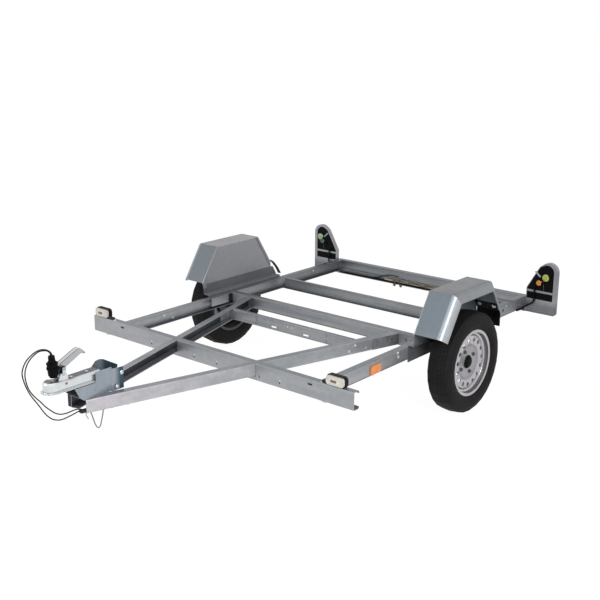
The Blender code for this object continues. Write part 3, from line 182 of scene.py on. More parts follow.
class Nodes:
    """A short way to write a material's nodes."""

    def __init__(self, name, colour, roughness, metallic):
        self.made = bpy.data.materials.new(name)
        self.made.use_nodes = True
        self.tree = self.made.node_tree
        self.shader = self.tree.nodes["Principled BSDF"]
        self.shader.inputs["Base Color"].default_value = (*colour, 1.0)
        self.shader.inputs["Roughness"].default_value = roughness
        self.shader.inputs["Metallic"].default_value = metallic

    def node(self, kind, **values):
        made = self.tree.nodes.new(kind)
        for name, value in values.items():
            setattr(made, name, value)
        return made

    def link(self, start, end):
        self.tree.links.new(start, end)

    def place(self):
        return self.node("ShaderNodeTexCoord").outputs["Object"]

    def part(self, source, name):
        split = self.node("ShaderNodeSeparateXYZ")
        self.link(source, split.inputs[0])
        return split.outputs[name]

    def along(self, name):
        """One of the object's own coordinates."""
        return self.part(self.place(), name)

    def facing(self, name):
        """How far the surface faces along a world axis."""
        return self.part(self.node("ShaderNodeNewGeometry").outputs["Normal"], name)

    def sum(self, operation, *values):
        made = self.node("ShaderNodeMath", operation=operation)
        for slot, value in zip(made.inputs, values):
            if isinstance(value, (int, float)):
                slot.default_value = value
            else:
                self.link(value, slot)
        return made.outputs["Value"]

    def reach(self):
        """The distance from the chassis's middle plane."""
        return self.sum("ABSOLUTE", self.along("X"))

    def band(self, source, low, high):
        """1 between low and high, else 0."""
        return self.sum("COMPARE", source, (low + high) / 2, (high - low) / 2)

    def fade(self, source, start, end):
        """From 0 at start to 1 at end."""
        made = self.node("ShaderNodeMapRange")
        made.inputs["From Min"].default_value = start
        made.inputs["From Max"].default_value = end
        self.link(source, made.inputs["Value"])
        return made.outputs["Result"]

    def both(self, first, second):
        return self.sum("MULTIPLY", first, second)

    def tint(self, colour, mask, factor):
        made = self.node("ShaderNodeMix", data_type="RGBA", blend_type="MULTIPLY")
        self.link(mask, made.inputs[0])
        self.link(colour, made.inputs[6])
        made.inputs[7].default_value = (*factor, 1.0)
        return made.outputs[2]

    def noise(self, scale, detail=2.0, stretch=None):
        texture = self.node("ShaderNodeTexNoise")
        texture.inputs["Scale"].default_value = scale
        texture.inputs["Detail"].default_value = detail
        where = self.place()
        if stretch:
            mapping = self.node("ShaderNodeMapping")
            mapping.inputs["Scale"].default_value = stretch
            self.link(where, mapping.inputs["Vector"])
            where = mapping.outputs["Vector"]
        self.link(where, texture.inputs["Vector"])
        return texture.outputs["Fac"]

    def ramp(self, source, stops):
        ramp = self.node("ShaderNodeValToRGB")
        while len(ramp.color_ramp.elements) < len(stops):
            ramp.color_ramp.elements.new(0.5)
        for element, (position, colour) in zip(ramp.color_ramp.elements, stops):
            element.position = position
            element.color = (*colour, 1.0)
        self.link(source, ramp.inputs["Fac"])
        return ramp.outputs["Color"]

    def bump(self, source, strength, distance=0.001):
        bump = self.node("ShaderNodeBump")
        bump.inputs["Strength"].default_value = strength
        bump.inputs["Distance"].default_value = distance
        self.link(source, bump.inputs["Height"])
        self.link(bump.outputs["Normal"], self.shader.inputs["Normal"])


def shade(colour, factor):
    return tuple(min(1.0, channel * factor) for channel in colour)


def grey(level):
    return (level,) * 3


def steel(name, colour, roughness=0.42, metallic=0.55, spread=0.05, grain=0.03, marks=(), streak=None):
    """Galvanised sheet: fine spangle over soft clouds or streaks, with the marks multiplied in."""
    paint = Nodes(name, colour, roughness, metallic)
    stops = [(0.35, shade(colour, 1.0 - spread)), (0.65, shade(colour, 1.0 + spread))]
    tone = paint.ramp(paint.noise(38.0, 4.0), stops)
    clouds = paint.fade(paint.noise(6.0, 1.0), 0.40, 0.62)
    tone = paint.tint(tone, clouds, grey(1.0 - spread))
    if streak:
        lines = paint.fade(paint.noise(7.0, 2.0, streak), 0.42, 0.64)
        tone = paint.tint(tone, lines, (1.0 - 3.2 * spread, 1.0 - 2.8 * spread, 1.0 - 2.4 * spread))
    for mark, factor in marks:
        tone = paint.tint(tone, mark(paint), factor)
    paint.link(tone, paint.shader.inputs["Base Color"])
    rough = paint.ramp(paint.noise(11.0), [(0.3, grey(roughness - 0.06)), (0.7, grey(roughness + 0.06))])
    paint.link(rough, paint.shader.inputs["Roughness"])
    paint.bump(paint.noise(90.0, 3.0), grain)
    return paint.made


def matt(name, colour, roughness, gloss=0.2):
    """Rubber or moulded plastic with a fine grain."""
    paint = Nodes(name, colour, roughness, 0.0)
    paint.shader.inputs["Specular IOR Level"].default_value = gloss
    stops = [(0.3, shade(colour, 0.85)), (0.7, shade(colour, 1.15))]
    paint.link(paint.ramp(paint.noise(30.0), stops), paint.shader.inputs["Base Color"])
    paint.bump(paint.noise(220.0, 3.0), 0.15)
    return paint.made


def lens(name, colour, roughness=0.12):
    """Coloured plastic under a clear coat."""
    paint = Nodes(name, colour, roughness, 0.0)
    stops = [(0.35, shade(colour, 0.9)), (0.65, shade(colour, 1.08))]
    paint.link(paint.ramp(paint.noise(60.0, 1.0), stops), paint.shader.inputs["Base Color"])
    paint.shader.inputs["Coat Weight"].default_value = 0.6
    paint.shader.inputs["Coat Roughness"].default_value = 0.05
    return paint.made


# Marks: each gives 1 where its tint applies and 0 elsewhere


def fade_along(name, start, end):
    """A mark from 0 at start to 1 at end of one of the object's own coordinates."""
    return lambda paint: paint.fade(paint.along(name), start, end)


def fade_outwards(start, end):
    """The same, by the distance from the chassis's middle plane."""
    return lambda paint: paint.fade(paint.reach(), start, end)


def fade_facing(name, start, end):
    """The same, by how far the surface faces along a world axis."""
    return lambda paint: paint.fade(paint.facing(name), start, end)


def heights(low, high):
    """A mark between two heights."""
    return lambda paint: paint.band(paint.along("Z"), low, high)


def widths(low, high):
    """A mark between two distances from the chassis's middle plane."""
    return lambda paint: paint.band(paint.reach(), low, high)


def overlap(first, *others):
    """A mark where all the given marks apply."""

    def mark(paint):
        total = first(paint)
        for other in others:
            total = paint.both(total, other(paint))
        return total

    return mark


def web_streaks(paint):
    """Long runs of darker zinc in the middle of a web."""
    return paint.both(paint.fade(paint.noise(9.0, 3.0, (0.2, 2.0, 5.0)), 0.50, 0.62), upright(paint))


def drawbar_inside_shade(paint):
    """Painted shade on the inner face of a drawbar's web, found by its distance from the outer face."""
    cosine, sine = DRAWBAR_TURN
    outer = DRAWBAR_FRONT[0] * cosine - DRAWBAR_FRONT[1] * sine
    across = paint.sum("SUBTRACT", paint.sum("MULTIPLY", paint.reach(), cosine), outer)
    across = paint.sum("SUBTRACT", across, paint.sum("MULTIPLY", paint.along("Y"), sine))
    web = paint.band(across, -0.0060, -0.0015)
    return paint.both(web, paint.band(paint.along("Z"), DRAWBAR_LOW + 0.0035, RAIL_TOP - 0.0035))


def cheek_shade_line(paint):
    """A painted line of shade along the rear slope, where the cheek is folded over."""
    corner_y, corner_z = GUARD_LINE[2]
    out, up = GUARD_REAR_NORMAL
    back = paint.sum("MULTIPLY", paint.sum("SUBTRACT", paint.along("Y"), AXLE_Y + corner_y), out)
    rise = paint.sum("MULTIPLY", paint.sum("SUBTRACT", paint.along("Z"), corner_z), up)
    return paint.both(guard_cheek(paint), paint.band(paint.sum("ADD", back, rise), -0.0250, -0.0110))


def handle_edge_shade(paint):
    """Painted shade on the two long edges of the lever's upper face and on the end of its hooked tip."""
    edges = paint.both(paint.fade(paint.reach(), 0.0088, 0.0094), paint.fade(paint.facing("Z"), 0.3, 0.5))
    tip = paint.fade(paint.along("Y"), -1.2905, -1.2895)
    return paint.both(paint.sum("MAXIMUM", edges, tip), paint.fade(paint.along("Z"), 0.566, 0.570))


def from_axle(paint):
    """How far a point is above and behind the axle."""
    return paint.sum("SUBTRACT", paint.along("Z"), AXLE_Z), paint.sum("SUBTRACT", paint.along("Y"), AXLE_Y)


def wheel_radius(paint):
    up, back = from_axle(paint)
    return paint.sum("SQRT", paint.sum("ADD", paint.both(up, up), paint.both(back, back)))


def wheel_angle(paint):
    return paint.sum("ARCTAN2", *from_axle(paint))


def hub_middle(paint):
    return paint.fade(wheel_radius(paint), 0.0275, 0.0270)


# Everywhere: the far side is the right one, away from the camera, where painted light goes on the guards and
# the far rail, and the rims' inboard sides carry painted shade

flat_tops = fade_facing("Z", 0.75, 0.95)
upright = fade_facing("Z", 0.5, 0.4)
far_side = fade_along("X", -0.70, -0.74)
rim_inboard_shade = fade_outwards(0.885, 0.880)

# Frame: painted shade on the lower flanges' upward faces and at the foot of the webs, and the rails' inner
# faces

low_floor_shade = overlap(flat_tops, fade_along("Z", 0.380, 0.375))
web_foot_shade = overlap(heights(*WEB_FOOT_SHADE), upright)
# The rails' inner faces, which carry a little painted light
rail_inside = overlap(widths(RAIL_X - 0.0050, RAIL_X - 0.0015), upright)
rail_rear = fade_along("Y", -0.3, 1.45)
# Painted light on the far rail's inner face towards its front
far_rail_front_light = overlap(far_side, rail_inside, fade_along("Y", 0.10, -0.10))
# Painted light on the drawbars, growing towards their front ends
drawbar_front_light = fade_along("Y", -0.3, -1.2)
# Painted light on the top of the axle plates' ledge
plate_ledge_light = overlap(flat_tops, heights(0.4035, 0.4100))

# Guards and towers: painted light on the skirt, cheek and far roof, painted shade on the front slope, a
# painted highlight on the front skirt, brightest at its fold, and a painted dark line on the roof where it
# rounds over

guard_skirt_light = fade_outwards(GUARD_FOLD_X - 0.013, GUARD_FOLD_X + 0.008)
# The inner cheek, which also carries painted light
guard_cheek = fade_outwards(GUARD_X + 0.0024, GUARD_X + 0.0014)
guard_front_shade = fade_facing("Y", -0.5, -0.8)
front_skirt_highlight = overlap(
    fade_facing("Y", -0.15, -0.35), fade_outwards(GUARD_FOLD_X - 0.021, GUARD_FOLD_X - 0.013),
    fade_outwards(GUARD_FOLD_X + 0.027, GUARD_FOLD_X - 0.006),
)
far_roof_light = overlap(far_side, flat_tops)
roof_shade_line = overlap(widths(GUARD_FOLD_X - 0.0225, GUARD_FOLD_X - 0.0135), flat_tops)
# Painted light on the upper part of the towers' feet, and painted shade on their outer rims
tower_foot_light = fade_along("Z", 0.352, 0.388)
tower_rim_shade = fade_outwards(0.9070, 0.9085)

# Coupling: the recess is the sunk top behind the lever, where painted shade lies, and the nose is the dome in
# front of it

# Painted shade on the bracket's flared rear end, where it turns a dark teal, and on its inner faces
bracket_flare_shade = fade_along("Y", -1.156, -1.128)
bracket_inside_shade = overlap(fade_outwards(0.0478, 0.0472), fade_facing("Z", 0.9, 0.7))
head_recess_shade = overlap(
    flat_tops, fade_along("Z", HEAD_TOP + 0.0007, HEAD_TOP + 0.0003), fade_outwards(0.0230, 0.0225),
    fade_along("Y", -1.388, -1.386),
)
head_nose = overlap(
    fade_along("Z", HEAD_TOP + 0.0015, HEAD_TOP + 0.0040), flat_tops, fade_along("Y", -1.425, -1.440),
)
# Painted shade in a line along the head's side, just above its lip
head_lip_shade = overlap(
    heights(HEAD_LIP_Z + 0.0034, HEAD_LIP_Z + 0.0071), fade_outwards(HEAD_HALF + 0.0012, HEAD_HALF + 0.0006),
)
# Painted shade on the lever's flanks
handle_flank_shade = overlap(fade_facing("Z", 0.3, 0.2), fade_along("Z", 0.552, 0.566))
handle_foot = fade_along("Z", 0.566, 0.556)


# Painting the frame's own pieces


def tyre_rubber():
    """Rubber with four grooves and slanted sipes in its tread, and rings on its side walls."""
    paint = Nodes("tyre_rubber", (0.0135, 0.0128, 0.0128), 0.7, 0.0)
    paint.shader.inputs["Specular IOR Level"].default_value = 0.12
    across = paint.sum("SUBTRACT", paint.reach(), WHEEL_X)
    radius = wheel_radius(paint)
    tread = paint.fade(radius, TREAD_START, TREAD_START + 0.0025)
    grooves = paint.sum("SINE", paint.sum("MULTIPLY", across, math.tau / GROOVE_PITCH))
    grooves = paint.fade(grooves, 0.72, 0.80)
    turn = paint.sum("MULTIPLY", wheel_angle(paint), 72.0)
    slant = paint.sum("MULTIPLY", paint.sum("ABSOLUTE", across), 90.0)
    sipes = paint.fade(paint.sum("SINE", paint.sum("ADD", turn, slant)), 0.86, 0.94)
    cuts = paint.both(paint.sum("MAXIMUM", grooves, sipes), tread)
    rings = paint.fade(paint.sum("SINE", paint.sum("MULTIPLY", radius, math.tau / WALL_RING_PITCH)), 0.3, 0.9)
    walls = paint.both(rings, paint.fade(radius, TREAD_START - 0.006, TREAD_START - 0.010))
    height = paint.sum("SUBTRACT", paint.sum("MULTIPLY", walls, 0.2), paint.sum("MULTIPLY", cuts, 0.5))
    stops = [(0.3, (0.0095, 0.0090, 0.0090)), (0.7, (0.0130, 0.0122, 0.0120))]
    tone = paint.tint(paint.ramp(paint.noise(22.0), stops), cuts, grey(0.6))
    tone = paint.tint(tone, walls, (1.12, 1.10, 1.08))
    paint.link(tone, paint.shader.inputs["Base Color"])
    paint.bump(height, 0.8, 0.003)
    return paint.made


def rim_paint():
    """Silver paint with painted rings of light and shade across the disc, and painted shade on its inboard
    side.
    """
    paint = Nodes("rim_paint", (0.45, 0.44, 0.46), 0.3, 0.45)
    radius = wheel_radius(paint)
    stops = [(0.35, (0.43, 0.415, 0.44)), (0.65, (0.47, 0.455, 0.48))]
    tone = paint.ramp(paint.noise(34.0, 3.0), stops)
    for low, high, factor in RIM_LIGHT_AND_SHADE:
        tone = paint.tint(tone, paint.band(radius, low, high), factor)
    tone = paint.tint(tone, rim_inboard_shade(paint), grey(0.10))
    paint.link(tone, paint.shader.inputs["Base Color"])
    paint.bump(paint.noise(160.0, 2.0), 0.04)
    return paint.made


def paint_nodes(nodes, material, *names):
    for name in names:
        for key in (name, f"{name}_left", f"{name}_right"):
            if key in nodes:
                nodes[key].data.materials.clear()
                nodes[key].data.materials.append(material)


def paint_chassis(nodes):
    zinc = (0.350, 0.360, 0.374)
    # Painted shade on the upward faces of the tops and of the lower flanges
    tops = (flat_tops, (0.60, 0.61, 0.63))
    floors = (low_floor_shade, (0.42, 0.44, 0.47))
    across, lengthwise = (0.25, 3.0, 3.0), (3.0, 0.25, 3.0)
    # The rails also carry painted shade at the foot of the webs and painted light on their inner faces and at
    # the far rail's front, and grow darker towards the rear
    rails = [
        tops, floors, (web_foot_shade, (0.50, 0.51, 0.53)), (rail_inside, grey(1.05)),
        (far_rail_front_light, (1.30, 1.32, 1.34)), (rail_rear, (0.60, 0.61, 0.63)),
    ]
    paint_nodes(nodes, steel("rail_zinc", shade(zinc, 1.12), marks=rails, streak=lengthwise), "side_rail")
    # The members carry the same painted shade, with streaks of darker zinc
    members = [tops, floors, (web_foot_shade, (0.48, 0.49, 0.51)), (web_streaks, (0.84, 0.86, 0.88))]
    members = steel("member_zinc", shade(zinc, 0.88), marks=members, streak=across)
    paint_nodes(
        nodes, members, "cross_member_front", "cross_member_middle", "cross_member_rear",
        "cross_member_slotted", "slotted_bracket", "drawbar_bracket",
    )
    # The beam's tops carry painted shade
    paint_nodes(nodes, steel("beam_zinc", shade(zinc, 1.06), marks=[tops], streak=across), "front_beam")
    # The drawbars carry painted shade on their tops and on the inner faces of their webs, and painted light
    # towards their front ends
    drawbars = [tops, (drawbar_inside_shade, (0.07, 0.08, 0.10)), (drawbar_front_light, (1.42, 1.34, 1.36))]
    paint_nodes(nodes, steel("drawbar_zinc", shade(zinc, 1.10), marks=drawbars, streak=lengthwise), "drawbar")
    # The torsion tube is the frame's zinc darkened into painted shade
    paint_nodes(nodes, steel("tube_zinc_shaded", shade(zinc, 0.14)), "torsion_tube")
    # The axle plates are steel in a painted shaded tone, with painted light on their ledge
    ledge = [(plate_ledge_light, grey(1.7))]
    paint_nodes(nodes, steel("shaded_steel", (0.125, 0.130, 0.145), 0.5, 0.3, marks=ledge), "axle_plate")
    loop = steel("wire_zinc", (0.22, 0.23, 0.24), 0.35, 0.6, spread=0.04, grain=0.0)
    paint_nodes(nodes, loop, "wire_loop")


def paint_guards_and_towers(nodes):
    # All the guards' tints are painted light and shade: lighter roofs, skirts and cheeks, darker front
    # slopes, a painted highlight on the front skirts, a lighter far guard and far roof, and painted dark
    # lines along the cheek and roof
    guards = [
        (flat_tops, (1.12, 1.03, 0.99)), (guard_skirt_light, (1.45, 1.38, 1.34)), (guard_cheek, (1.44, 1.38, 1.37)),
        (guard_front_shade, (0.92, 0.97, 1.0)), (front_skirt_highlight, (1.95, 1.88, 1.86)), (far_side, (1.14, 1.09, 1.07)),
        (far_roof_light, (1.28, 1.27, 1.27)), (cheek_shade_line, (0.60, 0.61, 0.63)), (roof_shade_line, (0.72, 0.73, 0.75)),
    ]
    sheet = steel("guard_sheet", (0.186, 0.208, 0.228), 0.46, 0.72, spread=0.03, grain=0.0, marks=guards)
    paint_nodes(nodes, sheet, "mudguard")
    # Painted light on the upper part of the towers' feet and painted shade on their outer rims
    towers = [(tower_foot_light, grey(1.75)), (tower_rim_shade, (0.72, 0.70, 0.71))]
    paint_nodes(nodes, steel("tower_zinc", (0.175, 0.182, 0.195), 0.38, 0.6, marks=towers), "light_tower")


def paint_coupling(nodes):
    # Painted shade on the bracket's flared rear end, where it turns a dark teal, and on its inner faces
    bracket = [(bracket_flare_shade, (0.13, 0.23, 0.28)), (bracket_inside_shade, (0.55, 0.56, 0.58))]
    bracket = steel("bracket_zinc", (0.30, 0.34, 0.385), 0.3, 0.65, marks=bracket)
    paint_nodes(nodes, bracket, "coupling_bracket")
    paint_nodes(nodes, steel("dark_steel", (0.040, 0.045, 0.050), 0.5, 0.3), "coupling_latch")
    # Painted shade in the head's recess and in a line above its lip
    head = [
        (head_recess_shade, (0.125, 0.125, 0.135)), (head_nose, (0.22, 0.21, 0.22)),
        (head_lip_shade, (0.50, 0.51, 0.53)),
    ]
    shell = steel("head_zinc", (0.665, 0.69, 0.70), 0.3, 0.75, spread=0.03, grain=0.015, marks=head)
    paint_nodes(nodes, shell, "coupling_head")
    # Painted shade on the lever's edges and flanks
    handle = [
        (handle_edge_shade, (0.22, 0.23, 0.24)), (handle_foot, (0.60, 0.74, 0.82)),
        (handle_flank_shade, (0.72, 0.73, 0.74)),
    ]
    lever = steel("lever_zinc", (0.62, 0.63, 0.64), 0.3, 0.8, spread=0.03, grain=0.015, marks=handle)
    paint_nodes(nodes, lever, "coupling_handle")
    bright = steel("bright_zinc", (0.50, 0.52, 0.53), 0.28, 0.8, spread=0.03, grain=0.015)
    paint_nodes(nodes, bright, "handle_pin")


def paint_wheels(nodes):
    # Painted shade on the hub's inboard part
    hubs = [(hub_middle, grey(0.3)), (rim_inboard_shade, grey(0.10))]
    hubs = steel("hub_zinc", (0.46, 0.50, 0.51), 0.3, 0.7, spread=0.03, grain=0.0, marks=hubs)
    paint_nodes(nodes, hubs, "hub")
    paint_nodes(nodes, steel("arm_steel", (0.05, 0.052, 0.055), 0.5, 0.4), "suspension_arm", "wheel_bearing")
    paint_nodes(nodes, rim_paint(), "rim")
    paint_nodes(nodes, tyre_rubber(), "tyre")


def paint_rubber_and_lenses(nodes):
    rubber = matt("black_rubber", (0.007, 0.007, 0.008), 0.55, gloss=0.12)
    paint_nodes(nodes, rubber, "rubber_core", "marker_lamp_base", "mud_flap")
    plastic = matt("black_plastic", (0.0035, 0.0035, 0.004), 0.5, gloss=0.06)
    paint_nodes(
        nodes, plastic, "hub_cap", "plug", "plug_holder", "rear_lamp_housing", "rear_harness", "tower_cable",
    )
    paint_nodes(nodes, lens("red_lens", (0.42, 0.004, 0.006), 0.3), "rear_lamp_lens")
    paint_nodes(nodes, lens("amber_lens", (0.82, 0.25, 0.03), 0.3), "side_reflector")
    paint_nodes(nodes, lens("cream_lens", (0.66, 0.62, 0.56)), "marker_lens")


def paint_frame(nodes):
    paint_chassis(nodes)
    paint_guards_and_towers(nodes)
    paint_coupling(nodes)
    paint_wheels(nodes)
    paint_rubber_and_lenses(nodes)


# Shapes


class Shape:
    """Collects the closed solids of one piece."""

    def __init__(self):
        self.points = []
        self.faces = []

    def add(self, points):
        first = len(self.points)
        self.points += [Vector(point) for point in points]
        return list(range(first, len(self.points)))

    def turned(self, profile, place, axis=UP, steps=16):
        """A solid turned round an axis. The profile gives (along, radius) from one end to the other."""
        along = Vector(axis).normalized()
        side = along.orthogonal().normalized()
        up = along.cross(side)
        turns = [math.tau * step / steps for step in range(steps)]
        rings = []
        for height, radius in profile:
            centre = Vector(place) + along * height
            if radius == 0.0:
                rings.append(self.add([centre]))
                continue
            rings.append(self.add([centre + (side * math.cos(t) + up * math.sin(t)) * radius for t in turns]))
        for low, high in zip(rings, rings[1:]):
            for step in range(steps):
                after = (step + 1) % steps
                near = [low[step % len(low)], low[after % len(low)]]
                far = [high[after % len(high)], high[step % len(high)]]
                face = list(dict.fromkeys(near + far))
                if len(face) > 2:
                    self.faces.append(face)

    def prism(self, outline, start, across, up, run):
        """An outline in the plane of across and up, drawn out along run."""
        start, across, up, run = Vector(start), Vector(across), Vector(up), Vector(run)
        near = self.add([start + across * a + up * b for a, b in outline])
        far = self.add([start + across * a + up * b + run for a, b in outline])
        self.faces += [near[::-1], far]
        for index in range(len(outline)):
            after = (index + 1) % len(outline)
            self.faces.append([near[index], near[after], far[after], far[index]])

    def plate(self, width, height, radius, centre, depth):
        """An upright plate across the chassis with rounded corners. A depth below 0 stands out forwards."""
        self.prism(rounded_outline(width, height, radius), centre, ACROSS, UP, (0.0, depth, 0.0))

    def bolt(self, seat, axis, head=0.0075, height=0.0055):
        """A hexagon head with a chamfered top on a round washer."""
        washer = head * 1.35
        disc = [(0, 0.0), (0, washer), (0.0011, washer), (0.0015, washer - 0.0004), (0.0015, 0.0)]
        self.turned(disc, seat, axis, 14)
        top = [(0.0013, 0.0), (0.0013, head), (height - 0.001, head), (height, head * 0.86), (height, 0.0)]
        self.turned(top, seat, axis, 6)

    def rivet(self, seat, axis, head=0.005, height=0.0025):
        dome = [(0, 0.0), (0, head), (height * 0.5, head * 0.9), (height * 0.85, head * 0.55), (height, 0.0)]
        self.turned(dome, seat, axis, 12)

    def object(self, name):
        mesh = bpy.data.meshes.new(name)
        mesh.from_pydata([tuple(point) for point in self.points], [], self.faces)
        return scene_object(name, mesh)

    def piece(self, name, material, body="chassis", bevel=0.0):
        obj = self.object(name)
        bm = bmesh.new()
        bm.from_mesh(obj.data)
        bmesh.ops.recalc_face_normals(bm, faces=bm.faces)
        bm.to_mesh(obj.data)
        bm.free()
        obj.data.materials.append(material)
        if bevel:
            edge = obj.modifiers.new("Edge", "BEVEL")
            edge.width = bevel
            edge.segments = 2
            edge.limit_method = "ANGLE"
        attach(obj, body)


def scene_object(name, data):
    obj = bpy.data.objects.new(name, data)
    bpy.context.scene.collection.objects.link(obj)
    return obj


def arc(centre, radius, start, end, steps):
    turns = [math.radians(start + (end - start) * step / steps) for step in range(steps + 1)]
    return [(centre[0] + radius * math.cos(t), centre[1] + radius * math.sin(t)) for t in turns]


def rounded_outline(width, height, radius, steps=4):
    outline = []
    for sx, sy, start in ((1, -1, -90), (1, 1, 0), (-1, 1, 90), (-1, -1, 180)):
        corner = (sx * (width / 2 - radius), sy * (height / 2 - radius))
        outline += arc(corner, radius, start, start + 90, steps)
    return outline


def wire(name, points, radius, material, roundness=2):
    """A round wire or bead on the chassis, through the points."""
    curve = bpy.data.curves.new(name, "CURVE")
    curve.dimensions = "3D"
    curve.bevel_depth = radius
    curve.bevel_resolution = roundness
    curve.use_fill_caps = True
    spline = curve.splines.new("POLY")
    spline.points.add(len(points) - 1)
    for slot, point in zip(spline.points, points):
        slot.co = (*point, 1.0)
    curve.materials.append(material)
    obj = scene_object(name, curve)
    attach(obj, "chassis")
    return obj


def apply_modifiers(obj, crease):
    """Turns the modifiers into mesh and shades it smooth, with sharp edges above the crease in degrees."""
    solid = bpy.data.meshes.new_from_object(obj.evaluated_get(bpy.context.evaluated_depsgraph_get()))
    obj.modifiers.clear()
    obj.data = solid
    for face in solid.polygons:
        face.use_smooth = True
    solid.set_sharp_from_angle(angle=math.radians(crease))


def drawbar_point(side, along, across, z):
    """A point by its distance along a drawbar from its front, and inwards from its outer face."""
    cosine, sine = DRAWBAR_TURN
    x = DRAWBAR_FRONT[0] + along * sine - across * cosine
    y = DRAWBAR_FRONT[1] + along * cosine + across * sine
    return (side * x, y, z)


def wheel_point(side, x, circle, angle):
    """A point on a circle about the axle."""
    return (side * x, AXLE_Y + circle * math.cos(angle), AXLE_Z + circle * math.sin(angle))


# Small pieces on the chassis


def frame_bolts(material):
    """The bolts of the rails, members and drawbars."""
    bolts = Shape()
    cosine, sine = DRAWBAR_TURN
    for _, side in SIDES:
        out = (side, 0.0, 0.0)
        for y, z in MIDDLE_BOLTS:
            bolts.bolt((side * RAIL_X, y, z), out)
        bolts.bolt((side * (RAIL_X + 0.0033), 1.4031, 0.3523), out, 0.009, 0.006)
        bolts.rivet((side * RAIL_X, 1.238, 0.3865), out, 0.006)
        for z in (0.3762, 0.3490):
            bolts.bolt((side * 0.255, SLOTTED_FRONT, z), FORWARD, 0.0055, 0.004)
        for along, z in DRAWBAR_BOLTS:
            bolts.bolt(drawbar_point(side, along, 0.0, z), (side * cosine, -sine, 0.0), 0.0055, 0.004)
        for along in DRAWBAR_FOOT_BOLTS:
            bolts.bolt(drawbar_point(side, along, 0.018, DRAWBAR_LOW), (0.0, 0.0, -1.0), 0.0060, 0.007)
    bolts.piece("frame_bolts", material)


def flap_bolts(material):
    """The bolts inside the guards' rear slopes, which hold the mud flaps."""
    out, up = GUARD_REAR_NORMAL
    bolts = Shape()
    for _, side in SIDES:
        for x in FLAP_BOLTS:
            bolts.bolt((side * x, AXLE_Y + 0.2799, 0.5116), (0.0, -out, -up), 0.0085, 0.0060)
    bolts.piece("flap_bolts", material)


def beam_details(zinc, dark):
    """The lamps' top rivets, the small tabs under the beam and its oval grommets."""
    rivets = Shape()
    for seat in BEAM_RIVETS:
        rivets.rivet(seat, UP, 0.006, 0.004)
    rivets.piece("beam_rivets", zinc)
    tabs = Shape()
    for x in (0.713, -0.831):
        outline = [(-0.016, 0.0), (0.016, 0.0), (0.012, -0.009), (-0.012, -0.009)]
        tabs.prism(outline, (x, -0.4730, 0.3093), ACROSS, UP, (0.0, 0.003, 0.0))
    tabs.piece("beam_tabs", zinc, bevel=0.0006)
    grommets = Shape()
    for x in (0.6393, -0.6864):
        grommets.plate(0.026, 0.009, 0.0044, (x, BEAM_FRONT, 0.3757), -0.0012)
    grommets.piece("beam_grommets", dark, bevel=0.0004)


def rail_details(dark):
    """The rails' inner bolts, cable grommets and dark slots, and the plates on the rear member's ends."""
    grommets, slots, bolts, plates = Shape(), Shape(), Shape(), Shape()
    for _, side in SIDES:
        grommets.rivet((side * RAIL_X, 1.2004, 0.3669), (side, 0.0, 0.0), 0.0075, 0.0025)
        along, across = (side * 0.84, 0.54, 0.0), (side * -0.54, 0.84, 0.0)
        slot = rounded_outline(0.042, 0.011, 0.0054)
        slots.prism(slot, (side * 0.694, 1.3110, RAIL_TOP), along, across, (0.0, 0.0, 0.0006))
        for y, z in INNER_BOLTS:
            bolts.bolt((side * (RAIL_X - SHEET), y, z), (-side, 0.0, 0.0))
        end = [(1.4860, 0.3048), (1.5114, 0.3048), (1.5114, 0.3922), (1.4860, 0.3922)]
        plates.prism(end, (side * 0.7118, 0.0, 0.0), BACKWARD, UP, (side * 0.0025, 0.0, 0.0))
    bolts.piece("rail_inner_bolts", bpy.data.materials["bolt_zinc"])
    plates.piece("rear_end_plates", bpy.data.materials["member_zinc"], bevel=0.0005)
    grommets.piece("rail_grommets", dark, bevel=0.0005)
    slots.piece("rail_slots", dark)


def marker_faces(dark, glow):
    """The bulb's oval and the reflecting ring on each marker lamp's face, and the rubber foot beside it."""
    for name, side in SIDES:
        low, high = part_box(f"marker_lens_{name}")
        x, z = (low[0] + high[0]) / 2, (low[2] + high[2]) / 2
        ring = Shape()
        ring.plate(0.060, 0.024, 0.0115, (x - 0.004, low[1], z), -0.0010)
        ring.piece(f"marker_ring_{name}", glow, bevel=0.0004)
        bulb = Shape()
        bulb.plate(0.036, 0.013, 0.0062, (x - 0.006, low[1] - 0.0009, z - 0.001), -0.0012)
        bulb.piece(f"marker_bulb_{name}", dark, bevel=0.0005)
        foot = Shape()
        low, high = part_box(f"marker_lamp_base_{name}")
        inboard = low[0] - 0.012 if side > 0 else high[0] + 0.012
        foot.plate(0.040, 0.011, 0.004, (inboard, high[1] - 0.006, low[2] + 0.0052), -0.014)
        foot.piece(f"marker_foot_{name}", bpy.data.materials["black_rubber"], bevel=0.001)


